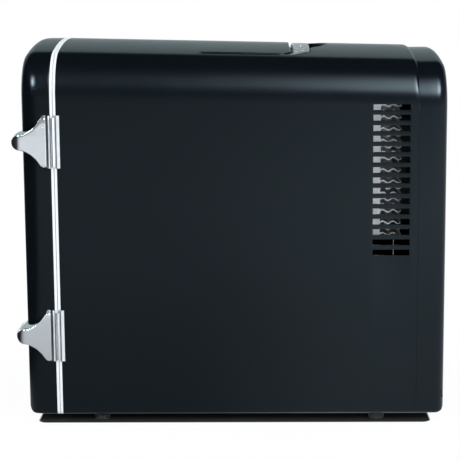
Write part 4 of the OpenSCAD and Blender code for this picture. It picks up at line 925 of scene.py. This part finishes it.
half = bail["width"] / 2
rear = handleHigh.y
innerCorner = bail["corner"] - bail["grip"]
stations = []
for i in range(bail["endSteps"] + 1):
    # rounded end of the arm about the pivot
    turn = math.radians(90 * i / bail["endSteps"])
    y = pivot.y - bail["endRadius"] * math.cos(turn)
    stations.append(((half - bail["arm"], y), (half, y), max(math.sin(turn), bail["endLeast"])))
innerMiddle = (half - bail["arm"] - innerCorner, rear - bail["grip"] - innerCorner)
outerMiddle = (half - bail["corner"], rear - bail["corner"])
steps = bail["straightSteps"]
for share in [i / steps for i in range(1, steps + 1)]:
    stations.append(((half - bail["arm"], pivot.y + (innerMiddle[1] - pivot.y) * share),
                     (half, pivot.y + (outerMiddle[1] - pivot.y) * share), 1.0))
innerArc = arcPoints(innerMiddle, innerCorner, 0, 90, bail["cornerSteps"])
outerArc = arcPoints(outerMiddle, bail["corner"], 0, 90, bail["cornerSteps"])
stations += [(a, b, 1.0) for a, b in zip(innerArc[1:], outerArc[1:])]
for share in [1 - i / steps for i in range(1, steps + 1)]:
    stations.append(((innerMiddle[0] * share, rear - bail["grip"]), (outerMiddle[0] * share, rear), 1.0))
mirrored = [((-a[0], a[1]), (-b[0], b[1]), k) for a, b, k in reversed(stations[:-1])]
bm, rows = loft([bailSection(a, b, k) for a, b, k in stations + mirrored])
capRing(bm, rows[0])
capRing(bm, rows[-1])
faceOutwards(bm)
handlePiece = addPiece("carryHandle", bm, materials["satinChrome"], 40)
bm = bmesh.new()
bmesh.ops.create_cone(bm, cap_ends=True, segments=bail["boreSteps"], radius1=bail["bore"], radius2=bail["bore"],
                      depth=2 * (half + bail["borePast"]),
                      matrix=Matrix.Translation(pivot) @ Matrix.Rotation(math.radians(90), 4, "Y"))
cutWith(handlePiece, cutterPiece("boreCutter", bm))
handlePiece.data.set_sharp_from_angle(angle=math.radians(40))
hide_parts("carry_handle")
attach(handlePiece, "carry_handle")
print("carry handle made")

# camera
lens = {
    "place": (1.1361, 0.01965, 0.3088),
    "down": 9.268,
    "turn": 1.077,
    "roll": -0.440,
    "focal": 117.391,
    "sensor": 36,
}
down, turn, roll = (math.radians(lens[k]) for k in ("down", "turn", "roll"))
forward = Vector((-math.cos(down) * math.cos(turn), -math.cos(down) * math.sin(turn), -math.sin(down)))
right = forward.cross(Vector((0, 0, 1))).normalized()
up = right.cross(forward)
levelRight = math.cos(roll) * right + math.sin(roll) * up
levelUp = -math.sin(roll) * right + math.cos(roll) * up
cameraData = bpy.data.cameras.new("studioCamera")
cameraData.lens = lens["focal"]
cameraData.sensor_width = lens["sensor"]
camera = bpy.data.objects.new("studioCamera", cameraData)
turned = Matrix((levelRight, levelUp, -forward)).transposed().to_4x4()
camera.matrix_world = Matrix.Translation(lens["place"]) @ turned
scene.collection.objects.link(camera)
scene.camera = camera

# floor, world and lamps
studio = {
    "floorSize": 6.0,
    "floorGlow": 0.96,
    # painted shadow under the object, where the floor's glow is off: its middle, half size inside the rounding,
    # rounding and soft edge
    "under": {"middle": (0, 2 * mm, 0), "half": (92 * mm, 134 * mm, 1), "round": 6 * mm, "soft": 1.2 * mm},
    "glossyLevel": 0.5,
    "tint": "#ecf3fa",
    "hazeTint": "#def5fa",
    # brightness of the room behind, in front and to the right: axis, limits along it, level at each limit
    "walls": [("X", -0.55, -0.90, 0.0, 1.0), ("Y", -0.62, -0.30, 0.04, 1.0), ("Y", -0.10, 0.22, 0.75, 1.62)],
    "wallPlace": (0.35, 0, 0),
    # brightness by distance on the floor, where painted shade darkens the floor's glow in reflections near the
    # object, and by height: limits, level at each limit
    "near": (0.10, 1.00, 0.63, 1.08),
    "horizon": (0.03, 0.14, 0.54, 0.0),
    "ceiling": (0.40, 0.55, 0.46, 0.02),
    "clearAir": (0.12, 0.05),
    "boxFade": 0.25,
    # soft boxes by direction: brightness, limits of height, limits to the side
    "boxes": [
        (34.0, (0.38, 0.52, 0.58, 0.98), (0.02, 0.46, 0.60, 0.80)),
        (60.0, (0.34, 0.46, 0.54, 0.72), (-0.78, -0.68, -0.60, -0.52)),
        (0.2, (0.38, 0.52, 0.58, 0.98), (-0.40, -0.20, 1.2, 1.3)),
    ],
    "lamps": [
        # name, place, aim, width, height, power
        ("overhead", (-0.30, 0.05, 1.50), (0, 0, 0.2), 1.0, 1.2, 5.0),
        ("lensRight", (1.00, 0.90, 0.70), (0, 0.05, 0.15), 0.8, 0.8, 7.0),
        ("front", (0.30, -1.30, 0.80), (0, 0, 0.15), 0.8, 0.8, 3.0),
    ],
}


def roomLevel(tree, place, output):
    # the room's brightness by direction: white behind, even on the lens's side, dark before the door
    path = addNode(tree, "ShaderNodeLightPath")
    seen = addNode(tree, "ShaderNodeMath", {"operation": "MAXIMUM"},
                   {0: (path, "Is Camera Ray"), 1: (path, "Is Transmission Ray")})
    flat = addNode(tree, "ShaderNodeVectorMath", {"operation": "MULTIPLY", 1: (1, 1, 0)}, {0: (place, output)})
    unit = addNode(tree, "ShaderNodeVectorMath", {"operation": "NORMALIZE"}, {0: (flat, 0)})
    axes = addNode(tree, "ShaderNodeSeparateXYZ", {}, {0: (unit, 0)})
    walls = []
    for axis, start, end, low, high in studio["walls"]:
        walls.append(addNode(tree, "ShaderNodeMapRange", {"interpolation_type": "SMOOTHSTEP", "From Min": start,
                                                          "From Max": end, "To Min": low, "To Max": high},
                             {"Value": (axes, axis)}))
    behind, front, right = walls
    lensSide = addNode(tree, "ShaderNodeMath", {"operation": "MULTIPLY"}, {0: (front, 0), 1: (right, 0)})
    return path, seen, axes, behind, lensSide


bm = bmesh.new()
bmesh.ops.create_grid(bm, x_segments=1, y_segments=1, size=studio["floorSize"] / 2)
floorMaterial, tree, shader, place = startMaterial("paperFloor")
# seamless paper: matte white, shows its own white to the lens; under the object a painted shadow stands in for
# its shadow
shader.inputs["Base Color"].default_value = hexColor("#fbfbfb")
shader.inputs["Roughness"].default_value = 0.9
shifted = addNode(tree, "ShaderNodeVectorMath", {"operation": "ADD", 1: studio["wallPlace"]},
                  {0: (place, "Object")})
path, seen, axes, behind, lensSide = roomLevel(tree, shifted, 0)
under = studio["under"]
# painted shadow under the object: distance outside its inner rectangle
aside, output = place, "Object"
for operation, value in (("SUBTRACT", under["middle"]), ("ABSOLUTE", (0, 0, 0)), ("SUBTRACT", under["half"]),
                         ("MAXIMUM", (0, 0, 0)), ("LENGTH", (0, 0, 0))):
    aside = addNode(tree, "ShaderNodeVectorMath", {"operation": operation, 1: value}, {0: (aside, output)})
    output = 0
start, end = under["round"], under["round"] + under["soft"]
clear = addNode(tree, "ShaderNodeMapRange", {"From Min": start, "From Max": end, "To Min": 0.0, "To Max": 1.0},
                {"Value": (aside, "Value")})
# the floor glows white to the lens except inside the painted shadow
glow = addNode(tree, "ShaderNodeEmission", {"Color": (1, 1, 1, 1)}, {"Strength": (clear, 0)})
share = addNode(tree, "ShaderNodeMath", {"operation": "MULTIPLY", 1: studio["floorGlow"]}, {0: (seen, 0)})
paper = addNode(tree, "ShaderNodeMixShader", {}, {0: (share, 0), 1: (shader, "BSDF"), 2: (glow, "Emission")})
# in reflections the floor glows with the room's brightness; painted shade makes it darker near the object
spot = addNode(tree, "ShaderNodeSeparateXYZ", {}, {0: (place, "Object")})
start, end, low, high = studio["near"]
near = addNode(tree, "ShaderNodeMapRange", {"From Min": start, "From Max": end, "To Min": low, "To Max": high},
               {"Value": (spot, "X")})
room = addNode(tree, "ShaderNodeMath", {"operation": "MULTIPLY"}, {0: (lensSide, 0), 1: (near, 0)})
room = addNode(tree, "ShaderNodeMath", {"operation": "MAXIMUM"}, {0: (behind, 0), 1: (room, 0)})
colour = addNode(tree, "ShaderNodeMix", {"data_type": "RGBA", 6: hexColor(studio["tint"]), 7: (1, 1, 1, 1)},
                 {0: (behind, 0)})
mirrored = addNode(tree, "ShaderNodeEmission", {}, {"Color": (colour, 2), "Strength": (room, 0)})
mix = addNode(tree, "ShaderNodeMixShader", {},
              {0: (path, "Is Glossy Ray"), 1: (paper, 0), 2: (mirrored, "Emission")})
tree.links.new(mix.outputs[0], tree.nodes["Material Output"].inputs["Surface"])
floorPiece = addPiece("studioFloor", bm, floorMaterial)

world = bpy.data.worlds.new("studioWorld")
scene.world = world
world.use_nodes = True
world.cycles.sampling_method = "NONE"  # the light path decides what each ray sees
tree = world.node_tree
place = addNode(tree, "ShaderNodeTexCoord")
path, seen, axes, behind, lensSide = roomLevel(tree, place, "Generated")
height = addNode(tree, "ShaderNodeSeparateXYZ", {}, {0: (place, "Generated")})
bands = []
for start, end, low, high in (studio["horizon"], studio["ceiling"]):
    bands.append(addNode(tree, "ShaderNodeMapRange", {"From Min": start, "From Max": end, "To Min": low,
                                                      "To Max": high}, {"Value": (height, "Z")}))
bands = addNode(tree, "ShaderNodeMath", {"operation": "ADD"}, {0: (bands[0], 0), 1: (bands[1], 0)})
room = addNode(tree, "ShaderNodeMath", {"operation": "MULTIPLY", 1: studio["glossyLevel"]}, {0: (lensSide, 0)})
room = addNode(tree, "ShaderNodeMath", {"operation": "MAXIMUM"}, {0: (behind, 0), 1: (room, 0)})
room = addNode(tree, "ShaderNodeMath", {"operation": "MULTIPLY"}, {0: (room, 0), 1: (bands, 0)})
# soft boxes on the lens's side, with soft edges
for power, heights, sides in studio["boxes"]:
    share = addNode(tree, "ShaderNodeMapRange", {"From Min": 0.0, "From Max": studio["boxFade"], "To Min": 0.0,
                                                 "To Max": power}, {"Value": (axes, "X")})
    for source, axis, limits in ((height, "Z", heights), (axes, "Y", sides)):
        for start, end in (limits[:2], limits[:1:-1]):
            edge = addNode(tree, "ShaderNodeMapRange", {"interpolation_type": "SMOOTHSTEP", "From Min": start,
                                                        "From Max": end, "To Min": 0.0, "To Max": 1.0},
                           {"Value": (source, axis)})
            share = addNode(tree, "ShaderNodeMath", {"operation": "MULTIPLY"}, {0: (share, 0), 1: (edge, 0)})
    room = addNode(tree, "ShaderNodeMath", {"operation": "ADD"}, {0: (share, 0), 1: (room, 0)})
glossy = addNode(tree, "ShaderNodeMath", {"operation": "MULTIPLY"}, {0: (room, 0), 1: (path, "Is Glossy Ray")})
both = addNode(tree, "ShaderNodeMath", {"operation": "MAXIMUM"}, {0: (glossy, 0), 1: (path, "Is Diffuse Ray")})
level = addNode(tree, "ShaderNodeMath", {"operation": "MAXIMUM"}, {0: (both, 0), 1: (seen, 0)})
start, end = studio["clearAir"]
clearAir = addNode(tree, "ShaderNodeMapRange",
                   {"From Min": start, "From Max": end, "To Min": 0.0, "To Max": 1.0}, {"Value": (height, "Z")})
clearAir = addNode(tree, "ShaderNodeMath", {"operation": "MAXIMUM"}, {0: (clearAir, 0), 1: (seen, 0)})
backdrop = addNode(tree, "ShaderNodeMix",
                   {"data_type": "RGBA", 6: hexColor(studio["hazeTint"]), 7: (1, 1, 1, 1)}, {0: (clearAir, 0)})
white = addNode(tree, "ShaderNodeMath", {"operation": "MAXIMUM"}, {0: (behind, 0), 1: (seen, 0)})
colour = addNode(tree, "ShaderNodeMix", {"data_type": "RGBA", 6: hexColor(studio["tint"])},
                 {0: (white, 0), 7: (backdrop, 2)})
tree.links.new(colour.outputs[2], tree.nodes["Background"].inputs["Color"])
tree.links.new(level.outputs[0], tree.nodes["Background"].inputs["Strength"])

for name, place, aim, width, height, power in studio["lamps"]:
    lamp = bpy.data.lights.new(name, "AREA")
    lamp.shape = "RECTANGLE"
    lamp.size, lamp.size_y, lamp.energy = width, height, power
    holder = bpy.data.objects.new(name, lamp)
    turned = (Vector(aim) - Vector(place)).to_track_quat("-Z", "Y").to_matrix().to_4x4()
    holder.matrix_world = Matrix.Translation(place) @ turned
    holder.visible_glossy = False  # reflections come from the room
    scene.collection.objects.link(holder)

scene.view_settings.view_transform = "Standard"
print("camera and studio set")
